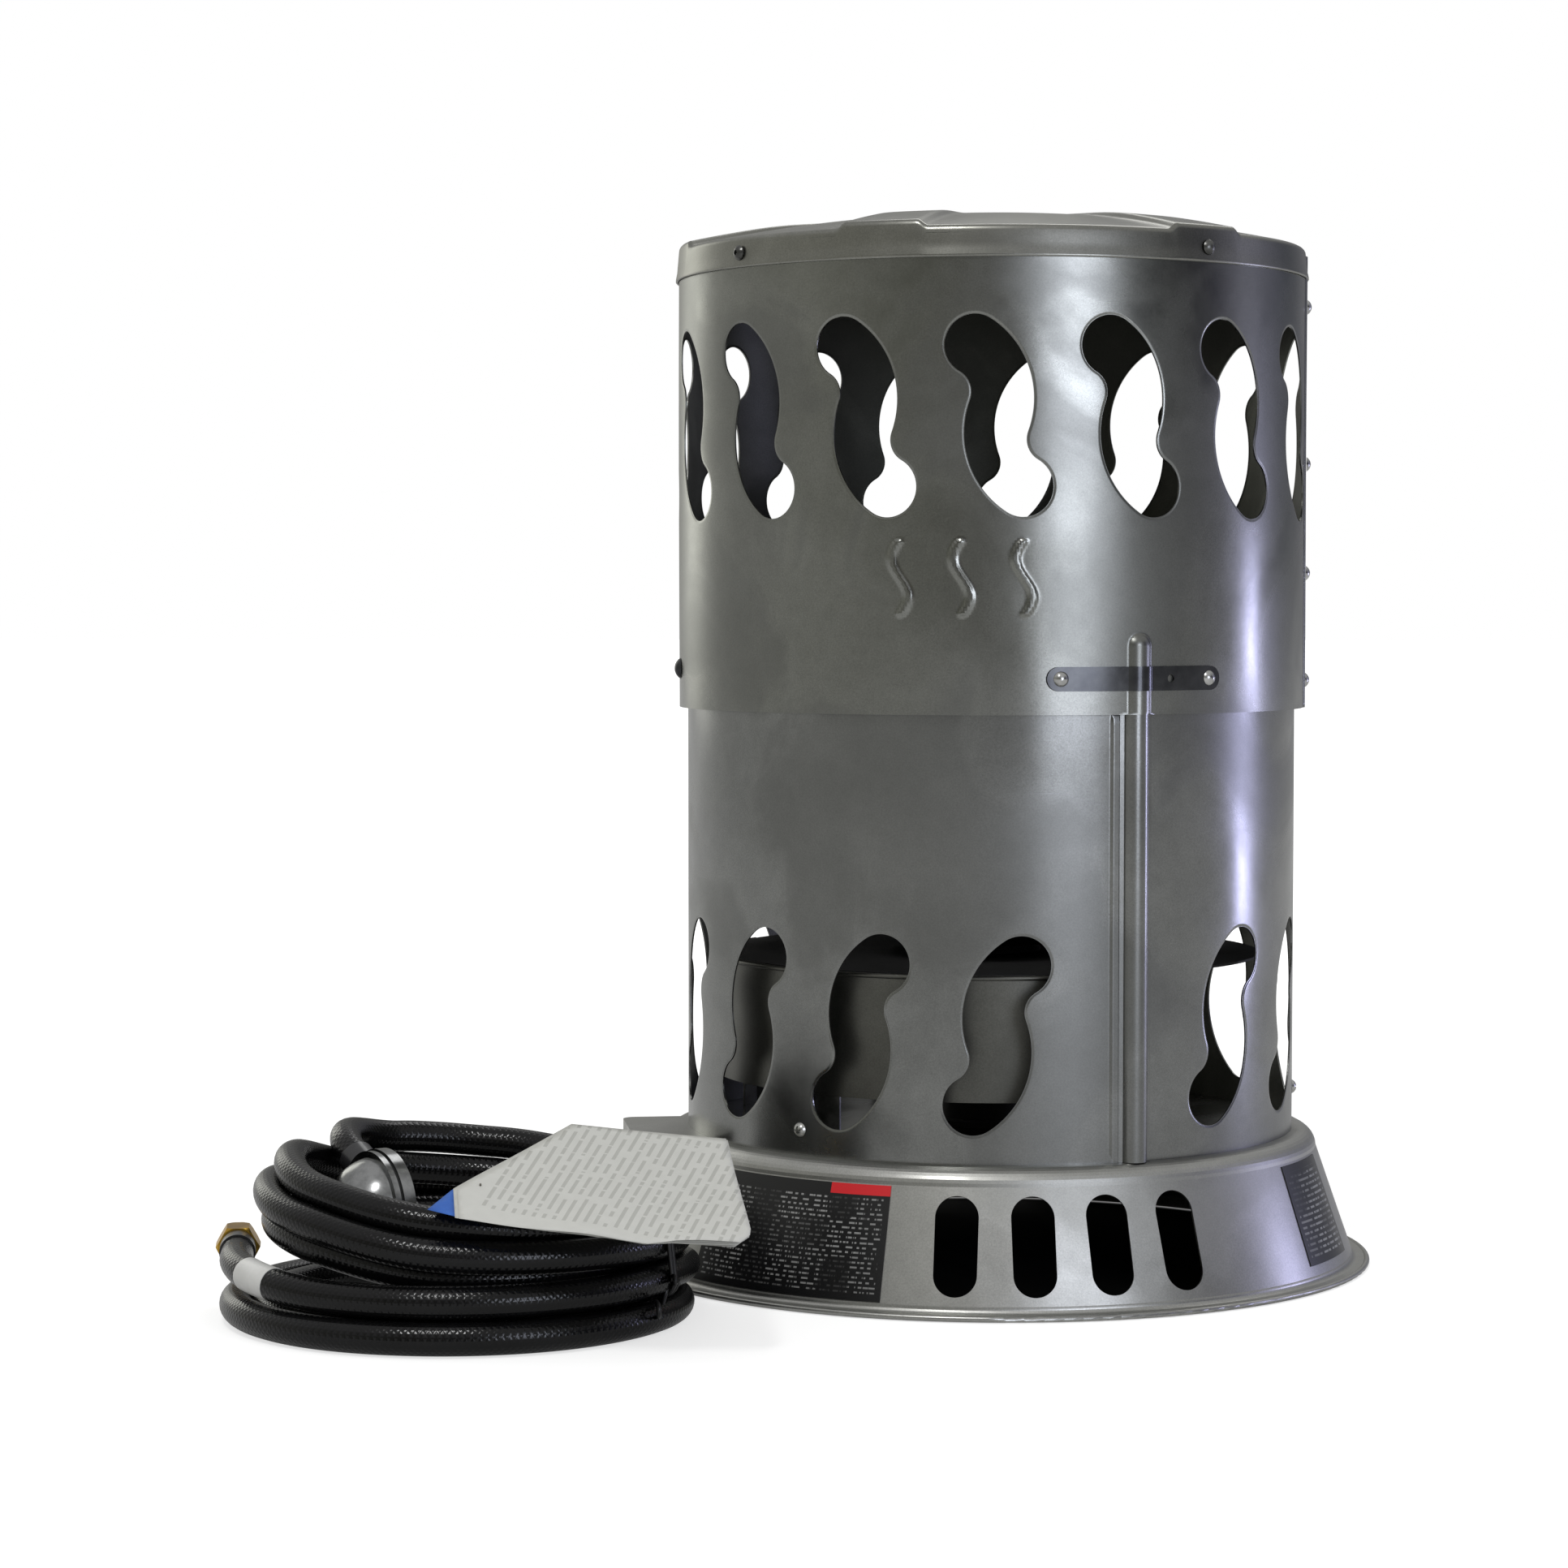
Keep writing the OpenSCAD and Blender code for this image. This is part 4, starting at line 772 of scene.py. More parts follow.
LAMPS = (Lamp("side_strip", 106.0, -1.2, 1900.0, 190.0, 360.0, 2.6, "#cfcfff"),
         Lamp("front_box", 31.0, 9.0, 2200.0, 800.0, 640.0, 8.6, "#e9efff"),
         Lamp("top_spot", -16.0, 50.0, 2400.0, 240.0, 560.0, 15.0, "#ffffff"),
         Lamp("left_box", -138.0, 16.0, 2200.0, 700.0, 1200.0, 3.4, "#fffff4"),
         Lamp("back_box", 165.0, 52.0, 2300.0, 1300.0, 800.0, 7.0, "#ffffff"))


@dataclass
class Studio:
    """The camera, the pale floor, the room's light and the lamps."""

    eye_mm: Point = (0.0, -2054.6, 350.25)
    yaw: float = 0.0533
    pitch: float = 0.0483
    focal_share: float = 4756.3 / 1932
    sensor_mm: float = 36.0
    ambient: float = 0.68
    room_bright: float = 1.0
    ceiling: float = 0.55
    ceiling_rise: tuple[float, float] = (0.22, 0.62)
    floor_mm: float = 60000.0
    floor_z: float = -0.4
    aim_mm: Point = (-60.0, -60.0, 220.0)

    def camera(self) -> None:
        """Places the camera."""
        data = bpy.data.cameras.new("camera")
        data.sensor_width = self.sensor_mm
        data.sensor_fit = "HORIZONTAL"
        data.lens = self.focal_share * self.sensor_mm
        data.clip_end = 100.0
        camera = bpy.data.objects.new("camera", data)
        bpy.context.scene.collection.objects.link(camera)
        camera.location = Vector(self.eye_mm) * MM
        camera.rotation_euler = Euler((math.pi / 2 - self.pitch, 0.0, self.yaw), "XYZ")
        bpy.context.scene.camera = camera

    def room(self) -> None:
        """Gives the world a white backdrop and, in what metal mirrors, a studio's walls and ceiling."""
        world = bpy.data.worlds.new("room")
        bpy.context.scene.world = world
        world.cycles.sampling_method = "NONE"
        world.use_nodes = True
        g = Graph(world.node_tree)
        turn, height = g.bearing(g.add("TexCoord").outputs["Generated"])
        walls = g.ramp(g.spread(turn, 0.0, 1.0, -math.pi, math.pi), *((p, (*rgb, 1.0)) for p, *rgb in WALLS))
        # The ceiling takes over from the walls above the horizon.
        room = g.mix(g.spread(height, 0.0, 1.0, *self.ceiling_rise), walls, grey(self.ceiling))
        seen, glossy = g.rays()
        colour = g.mix(seen, g.mix(glossy, grey(self.ambient), room), grey(self.room_bright))
        g.add("OutputWorld", {"Surface": g.add("Background", {"Strength": 1.0, "Color": colour}).outputs[0]})

    def floor(self) -> None:
        """Lays the pale floor."""
        half = self.floor_mm / 2
        corners = [[x * half, y * half, self.floor_z] for x, y in ((-1, -1), (1, -1), (1, 1), (-1, 1))]
        floor = make_object("floor", np.array(corners), [(0, 1, 2, 3)])
        dress(floor, SeamlessPaper())

    def build(self) -> None:
        """Sets the whole studio up."""
        bpy.context.scene.view_settings.view_transform = "Standard"
        self.camera()
        self.room()
        self.floor()
        for lamp in LAMPS:
            lamp.hang(Vector(self.aim_mm) * MM)


# ---------- hose set ----------


@dataclass
class HoseSet:
    """The one long hose in its coil, with its sleeve and tie, beside the heater."""

    hose_r: float = 7.95
    centre: tuple[float, float] = (-255.99, -190.0)
    ring_z: float = 49.25
    ring_half: float = 20.0
    ring_tilt: float = 7.2
    ring_gap: float = 0.6
    tail_rise: float = 24.15
    stated_m: float = 3.6
    sleeve_from: float = 52.0
    sleeve_to: float = 78.0
    sleeve_t: float = 0.28
    tie_at: float = -21.0
    tie_r: float = 1.15
    tie_above: float = 17.0
    lead_start: Point = (-312.08, -172.60, 74.12)
    outlet_line: Point = (-0.5498, 0.7296, 0.4067)
    tail_end: Point = (-366.99, -196.0, 30.0)
    nut_line: Point = (-0.1736, 0.9848, 0.0)
    # Angle from +X, radius and rise, along the lead and along the tail.
    lead_turns: tuple[Point, ...] = (
        (157.4, 66.2, -8), (150.5, 74, -5.6), (143.6, 80.6, -4.7), (136.6, 85.9, -5.6), (129.5, 89.7, -7),
        (122.4, 92.2, -8))
    tail_turns: tuple[Point, ...] = (
        (-96, 104, 0), (-105, 104.2, 0), (-114, 105, 0.2), (-124, 107, 0.7), (-134, 109, 2), (-143, 110, 3.2),
        (-153, 111, 4.5))
    # Each turn clockwise from the back, as radius and height every 45 degrees from 135 to -180.
    turns: tuple[Corners, ...] = (
        ((92, 77.5), (93, 70), (91, 58), (88, 45), (88, 51), (89, 58.5), (86, 69), (84, 77)),
        ((85, 63.5), (87, 55), (95, 45), (104, 40), (101, 42.5), (98, 45.5), (97, 57), (94, 63.8)),
        ((98, 53), (101, 45), (88, 31), (88, 29), (86, 31), (85, 33), (88, 43), (91, 48.5)),
        ((90, 40), (88, 38), (98, 21), (90, 14), (90, 8.5), (91.5, 11), (94, 9), (95, 8)),
        ((91, 8), (88, 8), (89, 8), (104.5, 8), (106.5, 8), (107, 8), (110, 8), (111, 8)),
        ((108, 8), (104, 8), (105.5, 9), (105, 24), (104.5, 24.3), (104, 24.2)))
    turn_from: float = 135.0
    turn_step: float = 45.0
    lead_straight: tuple[float, ...] = (0.0, 4.0)
    tail_straight: tuple[float, ...] = (26.0, 13.0, 0.0)
    spot_first: float = 7.4
    spot_step: float = 7.5
    slope: float = 0.8
    # How the turns press apart: points nearer along the hose than this don't press on each other.
    neighbours: int = 8
    press_gap: float = 0.1
    press_share: float = 0.28
    smooth_share: float = 0.24
    held_start: tuple[float, float] = (7, 14)
    held_end: tuple[float, float] = (4, 9)
    # The tie's spread across the hose, and its curled ends.
    tie_slip: float = 6.0
    curl_turns: float = 1.6
    curl_r: float = 3.5
    curl_run: float = 26.0
    curl_wave: float = 6.5
    curl_phase: float = 0.4
    curl_low: float = 10.0
    curl_rise: float = 6.0
    path: Array = field(default_factory=lambda: np.zeros((0, 3)))

    def spot(self, angle: float, radius: float, z: float) -> Array:
        """A point about the coil's centre, at an angle in degrees from +X."""
        a = math.radians(angle)
        return np.array([self.centre[0] + radius * math.cos(a), self.centre[1] + radius * math.sin(a), z])

    def route(self) -> Array:
        """Lays the hose out turn by turn, from the regulator to the flare nut.

        Returns:
            The route's points before the turns settle against each other.
        """
        tilt = math.radians(self.ring_tilt)
        out = np.array(self.outlet_line)
        points = [np.array(self.lead_start) + step * out for step in self.lead_straight]
        for angle, radius, rise in self.lead_turns:
            up = self.ring_half + self.hose_r + self.ring_gap + rise
            z = self.ring_z + up / math.cos(tilt) - radius * math.cos(math.radians(angle)) * math.tan(tilt)
            points.append(self.spot(angle, radius, z))
        x, y, z = points[-1]
        stops = [(self.turn_from - self.turn_step * step - 360.0 * number, *stop)
                 for number, turn in enumerate(self.turns) for step, stop in enumerate(turn)]
        stops[0] = (self.lead_turns[-1][0], math.hypot(x - self.centre[0], y - self.centre[1]), z)
        angles, radii, heights = np.array(stops).T
        for angle in np.arange(angles[0] - self.spot_first, angles[-1], -self.spot_step):
            radius, z = (self.ease(angle, angles, values) for values in (radii, heights))
            points.append(self.spot(angle, radius, z))
        points += [self.spot(angle, radius, self.tail_rise + rise) for angle, radius, rise in self.tail_turns]
        points += [np.array(self.tail_end) - step * np.array(self.nut_line) for step in self.tail_straight]
        return np.array(points)

    def ease(self, angle: float, angles: Array, values: Array) -> float:
        """Reads a value between two stops, rising and falling smoothly.

        Args:
            angle: where to read it; angles fall along the route.
            angles: the stops' angles.
            values: the stops' values.

        Returns:
            The value there.
        """
        i = int(np.clip(np.searchsorted(-angles, -angle) - 1, 0, len(angles) - 2))
        t = (angles[i] - angle) / (angles[i] - angles[i + 1])
        before, after = values[max(i - 1, 0)], values[min(i + 2, len(values) - 1)]
        a, b = values[i], values[i + 1]
        rise_a, rise_b = (b - before) / 2 * self.slope, (after - a) / 2 * self.slope
        return float((2 * t ** 3 - 3 * t ** 2 + 1) * a + (t ** 3 - 2 * t ** 2 + t) * rise_a
                     + (3 * t ** 2 - 2 * t ** 3) * b + (t ** 3 - t ** 2) * rise_b)

    def settle(self, line: Array, rounds: int = 90) -> Array:
        """Lets the turns press apart until they lie beside each other, keeping both ends.

        Args:
            line: evenly spaced points of the route.
            rounds: how many times the turns are pressed apart.

        Returns:
            The settled points.
        """
        count = len(line)
        moved = np.zeros_like(line)
        apart = 2 * self.hose_r + self.press_gap
        index = np.arange(count)
        far = np.abs(index[:, None] - index[None, :]) > self.neighbours
        from_start, from_end = index.astype(float), (count - 1 - index).astype(float)
        free = (smoothstep(*self.held_start, from_start) * smoothstep(*self.held_end, from_end))[:, None]
        for _ in range(rounds):
            now = line + moved
            gaps = now[:, None] - now[None, :]
            distance = np.linalg.norm(gaps, axis=2) + 1e-9
            press = np.where(far & (distance < apart), (apart - distance) * self.press_share, 0.0)
            moved += (gaps / distance[:, :, None] * press[:, :, None]).sum(axis=1) * free
            low = (line + moved)[:, 2] < self.hose_r
            moved[low, 2] = self.hose_r - line[low, 2]
            moved[1:-1] += self.smooth_share * (moved[:-2] + moved[2:] - 2 * moved[1:-1]) * free[1:-1]
        settled = line + moved
        settled[:, 2] = np.maximum(settled[:, 2], self.hose_r)
        return settled

    def hose(self) -> Piece:
        """Builds the hose as one tube on its settled route."""
        self.path = through(self.settle(through(self.route(), 10.0)), 3.5)
        hose = tube("hose", self.path, self.hose_r, 28)
        dress(hose, HOSE_RUBBER)
        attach(hose, "hose_set")
        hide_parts("hose_coil_raised", "hose_coil_floor", "hose_tail", "hose_lead")
        return hose

    def sleeve(self) -> Piece:
        """Wraps the plain white sleeve round the hose near the flare nut."""
        back = run(self.path[::-1])
        part = self.path[::-1][(back >= self.sleeve_from) & (back <= self.sleeve_to)]
        sleeve = tube("hose_sleeve", part, self.hose_r + self.sleeve_t, 32)
        dress(sleeve, SLEEVE_PAPER)
        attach(sleeve, "hose_set")
        return sleeve

    def tie(self) -> None:
        """Pulls the tie twice round the raised turns and lets its curled ends hang."""
        a = math.radians(self.tie_at)
        out = np.array([math.cos(a), math.sin(a), 0.0])
        side = np.array([-out[1], out[0], 0.0])
        middle = np.array([*self.centre, 0.0])
        angles = np.degrees(np.arctan2(self.path[:, 1] - middle[1], self.path[:, 0] - middle[0]))
        away = np.mod(angles - self.tie_at + 180, 360) - 180
        crossings = [i for i in range(1, len(away)) if away[i - 1] > 0 >= away[i] and away[i - 1] < 90]
        places = np.array([[np.dot(self.path[i] - middle, out), self.path[i][2]] for i in crossings])
        held = places[places[:, 1] > self.tie_above]
        line: list[Array] = []
        for turn in range(2):
            for q in np.linspace(0, FULL_TURN, 64, endpoint=False):
                normal = np.array([math.cos(q), math.sin(q)])
                best = held[np.argmax(held @ normal)] + normal * (self.hose_r + self.tie_r)
                slip = ((turn + q / FULL_TURN) / 2 - 0.5) * self.tie_slip
                line.append(middle + out * best[0] + UP * best[1] + side * slip)
        start = line[-1]
        # The hanging end's first tenth is left to the curve that runs through all the points.
        for s in np.linspace(0, 1, 40)[4:]:
            swing = FULL_TURN * self.curl_turns * s
            drop = out * (self.curl_r * math.sin(swing) - s)
            slide = -side * (self.curl_run * s + self.curl_wave * math.sin(swing + self.curl_phase))
            fall = (self.curl_low - start[2]) * min(1.0, s * 1.8)
            height = start[2] + fall + self.curl_rise * (1 - math.cos(swing)) * (1 - s * 0.4)
            line.append(np.array([start[0], start[1], 0]) + drop + slide + UP * max(height, 2.0))
        tie = tube("hose_tie", through(np.array(line), 2.0), self.tie_r, 10)
        dress(tie, TIE_PLASTIC)
        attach(tie, "hose_set")
        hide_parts("twist_tie")

    def build(self) -> None:
        hose = self.hose()
        sleeve = self.sleeve()
        LOG.info("hose: %.0f mm on its centre line, %d points", run(self.path)[-1], len(self.path))
        self.tie()
        LOG.info("hose sleeve and tie")


@dataclass
class Leaflet:
    """The folded paper leaflet: wavy loose sheets, the lowest but one of them blue."""

    middle: Point = (-172.97, -252.91, 75.72)
    tilt: Point = (20.0, 8.0, -10.0)
    outline: Corners = ((-71, -38), (-37, 43), (37, 54), (71, -30), (67, -41), (5, -54), (-48, -54))
    top_outline: Corners = (
        (-70, -36.5), (-37, 42), (36, 52), (69.5, -29), (70.5, -34), (68, -41.8), (58.7, -44.4),
        (39.4, -48.6), (27.5, -54.2), (-10.9, -57.3), (-60.6, -61.3))
    blue_outline: Corners = (
        (-71.5, -37), (-37, 41), (35, 51), (68, -30), (64, -39), (5, -53), (-55, -60), (-76, -57.5))
    blue_sheet: int = 1
    slid_from: int = 2
    sheets: int = 5
    first_level: float = 0.10
    level_step: float = 0.42
    first_wave: float = 0.25
    wave_step: float = 0.30
    mesh_mm: float = 3.2
    rim_mm: float = 3.0
    rim_clear: float = 1.6
    ripple_mm: tuple[float, float] = (9.5, 13.0)
    paper_t: float = 0.16
    page_origin: tuple[float, float] = (71.0, 54.0)

    def sheet(self, name: str, outline: Corners, level: float, wave: float, shift: Point) -> Piece:
        """Builds one sheet of paper, waved most at its loose edges.

        Args:
            name: the sheet's name.
            outline: its corners.
            level: its height over the leaflet's underside.
            wave: height of its waves.
            shift: how far it slid, right and up, and its turn in degrees.

        Returns:
            The sheet.
        """
        corners = np.array(outline, float)
        edge: list[Array] = []
        for corner, following in zip(corners, np.roll(corners, -1, axis=0)):
            steps = max(2, int(np.linalg.norm(following - corner) / self.rim_mm))
            edge += [corner + (following - corner) * s / steps for s in range(steps)]
        rim = np.array(edge)
        low, high = rim.min(axis=0), rim.max(axis=0)
        grid = grid_points(*(np.arange(low[k], high[k], self.mesh_mm) for k in (0, 1)))
        flat = np.vstack([rim, grid[inside(grid, rim) & (distance_to(grid, rim) > self.rim_clear)]])
        found = delaunay_2d_cdt([Vector(p) for p in flat], ring_edges(len(rim)), [], 1, 1e-5)
        plan = np.array([tuple(p) for p in found[0]])
        turn = math.radians(shift[2])
        x = plan[:, 0] * math.cos(turn) - plan[:, 1] * math.sin(turn) + shift[0]
        y = plan[:, 0] * math.sin(turn) + plan[:, 1] * math.cos(turn) + shift[1]
        loose = smoothstep(-30, 70, x - 0.4 * y) * 0.8 + smoothstep(20, -54, y) * 0.5
        long, wide = x / self.ripple_mm[0], y / self.ripple_mm[1]
        ripple = 1 + np.sin(long + level) * 0.45 + np.sin(wide + 2 * level) * 0.35
        height = level + wave * loose * ripple
        tilt = Euler([math.radians(v) for v in self.tilt], "XYZ").to_matrix()
        placed = [tuple(tilt @ Vector(v) + Vector(self.middle)) for v in np.stack([x, y, height], axis=1)]
        sheet = make_object(name, np.array(placed), [tuple(f) for f in found[2]], 80)
        across, up = (plan + self.page_origin)[corner_points(sheet)].T * MM
        map_uv(sheet, "page", up, across)
        solid = sheet.modifiers.new("paper", "SOLIDIFY")
        solid.thickness = self.paper_t * MM
        solid.offset = 1.0
        return sheet

    def build(self) -> None:
        """Stacks the sheets."""
        for number in range(self.sheets):
            blue, top = number == self.blue_sheet, number == self.sheets - 1
            slid = number >= self.slid_from
            outline = self.blue_outline if blue else self.top_outline if slid else self.outline
            spread = max(number - self.slid_from, 0)
            shift = (0.7 * spread * (-1) ** number, -0.5 * spread, 0.35 * spread)
            level = self.first_level + self.level_step * number
            wave = self.first_wave + self.wave_step * number
            piece = self.sheet(f"leaflet_sheet_{number + 1}", outline, level, wave, shift)
            dress(piece, TOP_PAPER if top else BLUE_PAPER if blue else UNDER_PAPER)
            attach(piece, "hose_set")
        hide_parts("leaflet")
        LOG.info("leaflet: %d sheets", self.sheets)


# ---------- wrapped sheet metal ----------


@dataclass(frozen=True)
class VentShape:
    """One vent: round lobes at both ends, bulging sides, and a hollow waist on each side."""

    lobe_r: float = 14.9
    lobe_x: float = 12.0
    lobe_y: float = 34.5
    side_r: float = 46.1
    side_at: float = 57.0
    waist_r: float = 11.5

    def outline(self) -> Array:
        """Works out where the arcs touch.

        Returns:
            The vent's closed outline about its centre, in millimetres.
        """
        low = np.array([self.lobe_x, -self.lobe_y])
        at = math.radians(self.side_at)
        side_c = -low - (self.side_r - self.lobe_r) * np.array([math.cos(at), math.sin(at)])
        reach = float(np.linalg.norm(low - side_c))
        long_r, short_r = self.side_r + self.waist_r, self.lobe_r + self.waist_r
        bend = math.degrees(math.acos((long_r ** 2 + reach ** 2 - short_r ** 2) / (2 * reach * long_r)))
        start = math.degrees(math.atan2(low[1] - side_c[1], low[0] - side_c[0])) + bend
        turn = math.radians(start)
        waist_c = side_c + long_r * np.array([math.cos(turn), math.sin(turn)])
        end = math.degrees(math.atan2(low[1] - waist_c[1], low[0] - waist_c[0]))
        half = np.vstack([arc(side_c, self.side_r, self.side_at, start, 26),
                          arc(waist_c, self.waist_r, start + 180, end + 360, 12),
                          arc(low, self.lobe_r, end + 180, self.side_at - 180, 34)])
        return np.vstack([half, -half])


@dataclass
class SheetPlan:
    """A sheet as it is cut flat, before it is rolled round the drum."""

    radius: float
    start: float
    end: float
    low: float
    high: float
    thickness: float
    height: Callable[[Array, Array], Array]
    vents: list[Array]
    # Patches of finer mesh: from and to in degrees, lower and upper edge, and spacing.
    fine: list[tuple[float, float, float, float, float]]
    step: float = 5.8
    vent_clear: float = 3.6
    vent_reach: float = 70.0
    vent_rings: tuple[float, float] = (0.6, 1.6)
    edge_clear: float = 0.6
    roll_mm: float = 0.26
    roll_reach: float = 0.7
    nudge: float = 0.2

    def relief(self, u: Array, z: Array) -> Array:
        """How far the outer face stands out at places of the flat sheet.

        Args:
            u: distance round the drum, in millimetres.
            z: height.

        Returns:
            The relief, with each vent's edge rolled in a little.
        """
        out = self.height(np.degrees(u / self.radius), z)
        flat = np.stack([u, z], axis=1)
        for vent in self.vents:
            near = ((flat > vent.min(axis=0) - 4) & (flat < vent.max(axis=0) + 4)).all(axis=1)
            if near.any():
                out[near] -= self.roll_mm * np.exp(-(distance_to(flat[near], vent) / self.roll_reach) ** 2)
        return out

    def collar(self, vent: Array, left: float, right: float) -> list[Array]:
        """Two rings of points close round a vent's edge, so that it can be rolled in.

        Args:
            vent: the vent's outline.
            left: the sheet's left edge.
            right: the sheet's right edge.

        Returns:
            The rings' points.
        """
        ahead = unit(np.roll(vent, -1, axis=0) - np.roll(vent, 1, axis=0))
        out = np.stack([ahead[:, 1], -ahead[:, 0]], axis=1)
        sign = -1.0 if inside(vent[:1] + out[:1] * 0.5, vent)[0] else 1.0
        rings = []
        for reach in self.vent_rings:
            ring = vent + out * sign * reach
            rings.append(ring[(distance_to(ring, vent) > reach * 0.8) & (ring[:, 0] > left + 0.5)
                              & (ring[:, 0] < right - 0.5)])
        return rings

    def plan(self) -> tuple[Array, Array]:
        """Cuts the flat sheet into triangles round its vents.

        Returns:
            The flat points and the triangles.
        """
        scale = math.radians(1.0) * self.radius
        left, right = self.start * scale, self.end * scale
        across = max(2, int(round((right - left) / self.step)))
        tall = max(2, int(round((self.high - self.low) / self.step)))
        us, zs = np.linspace(left, right, across + 1), np.linspace(self.low, self.high, tall + 1)
        low_row, high_row = np.full(across, self.low), np.full(across, self.high)
        left_row, right_row = np.full(tall, left), np.full(tall, right)
        rim = np.vstack([np.stack(side, 1) for side in ((us[:-1], low_row), (right_row, zs[:-1]),
                                                        (us[:0:-1], high_row), (left_row, zs[:0:-1]))])
        grid = grid_points(us[1:-1], zs[1:-1])
        for a, b, z0, z1, spacing in self.fine:
            low, high = np.array([a * scale, z0]), np.array([b * scale, z1])
            grid = grid[~((grid > low - spacing) & (grid < high + spacing)).all(axis=1)]
            patch = grid_points(*(np.arange(low[k], high[k] + 0.01, spacing) for k in (0, 1)))
            clear = self.edge_clear
            within = (patch > [left + clear, self.low + clear]) & (patch < [right - clear, self.high - clear])
            grid = np.vstack([grid, patch[within.all(axis=1)]])
        edges = ring_edges(len(rim))
        for number, vent in enumerate(self.vents):
            edges += ring_edges(len(vent), len(rim) + number * len(vent))
            near = np.abs(grid - vent.mean(axis=0)).max(axis=1) < self.vent_reach
            keep = ~near
            keep[near] = ~inside(grid[near], vent) & (distance_to(grid[near], vent) > self.vent_clear)
            grid = np.vstack([grid[keep], *self.collar(vent, left, right)])
        flat = np.vstack([rim, *self.vents, grid])
        found = delaunay_2d_cdt([Vector(p) for p in flat], edges, [], 0, 1e-4)
        result = np.array([tuple(p) for p in found[0]])
        triangles = np.array([tuple(f) for f in found[2]])
        centres = result[triangles].mean(axis=1)
        keep = np.ones(len(triangles), bool)
        for vent in self.vents:
            near = np.abs(centres - vent.mean(axis=0)).max(axis=1) < self.vent_reach
            keep[near] &= ~inside(centres[near], vent)
        return result, triangles[keep]

    def roll(self, name: str) -> Piece:
        """Rolls the sheet round the drum, with both faces, its cut edges and true normals.

        Args:
            name: the piece's name.

        Returns:
            The sheet.
        """
        flat, found = self.plan()
        u, z = flat.T
        relief = self.relief(u, z)
        theta = np.degrees(u / self.radius)
        outer = on_drum(theta, self.radius + relief, z)
        inner = on_drum(theta, self.radius + relief - self.thickness, z)
        slope_u = (self.relief(u + self.nudge, z) - self.relief(u - self.nudge, z)) / (2 * self.nudge)
        slope_z = (self.relief(u, z + self.nudge) - self.relief(u, z - self.nudge)) / (2 * self.nudge)
        outward, sideways = compass(theta)
        normals = unit(outward - slope_u[:, None] * sideways - slope_z[:, None] * UP)
        count, triangles = len(flat), found.tolist()
        directed = [edge for i, j, k in triangles for edge in ((i, j), (j, k), (k, i))]
        known = set(directed)
        faces = [tuple(t) for t in triangles] + [(i + count, k + count, j + count) for i, j, k in triangles]
        faces += [(j, i, i + count, j + count) for i, j in directed if (j, i) not in known]
        piece = make_object(name, np.vstack([outer, inner]), faces, 180)
        number = np.zeros(len(faces), np.int32)
        number[len(triangles):2 * len(triangles)] = 1
        piece.data.polygons.foreach_set("material_index", number)
        split = np.vstack([normals, -normals])[corner_points(piece)]
        for polygon in piece.data.polygons[2 * len(triangles):]:
            split[list(polygon.loop_indices)] = polygon.normal
        piece.data.normals_split_custom_set(split.tolist())
        return piece


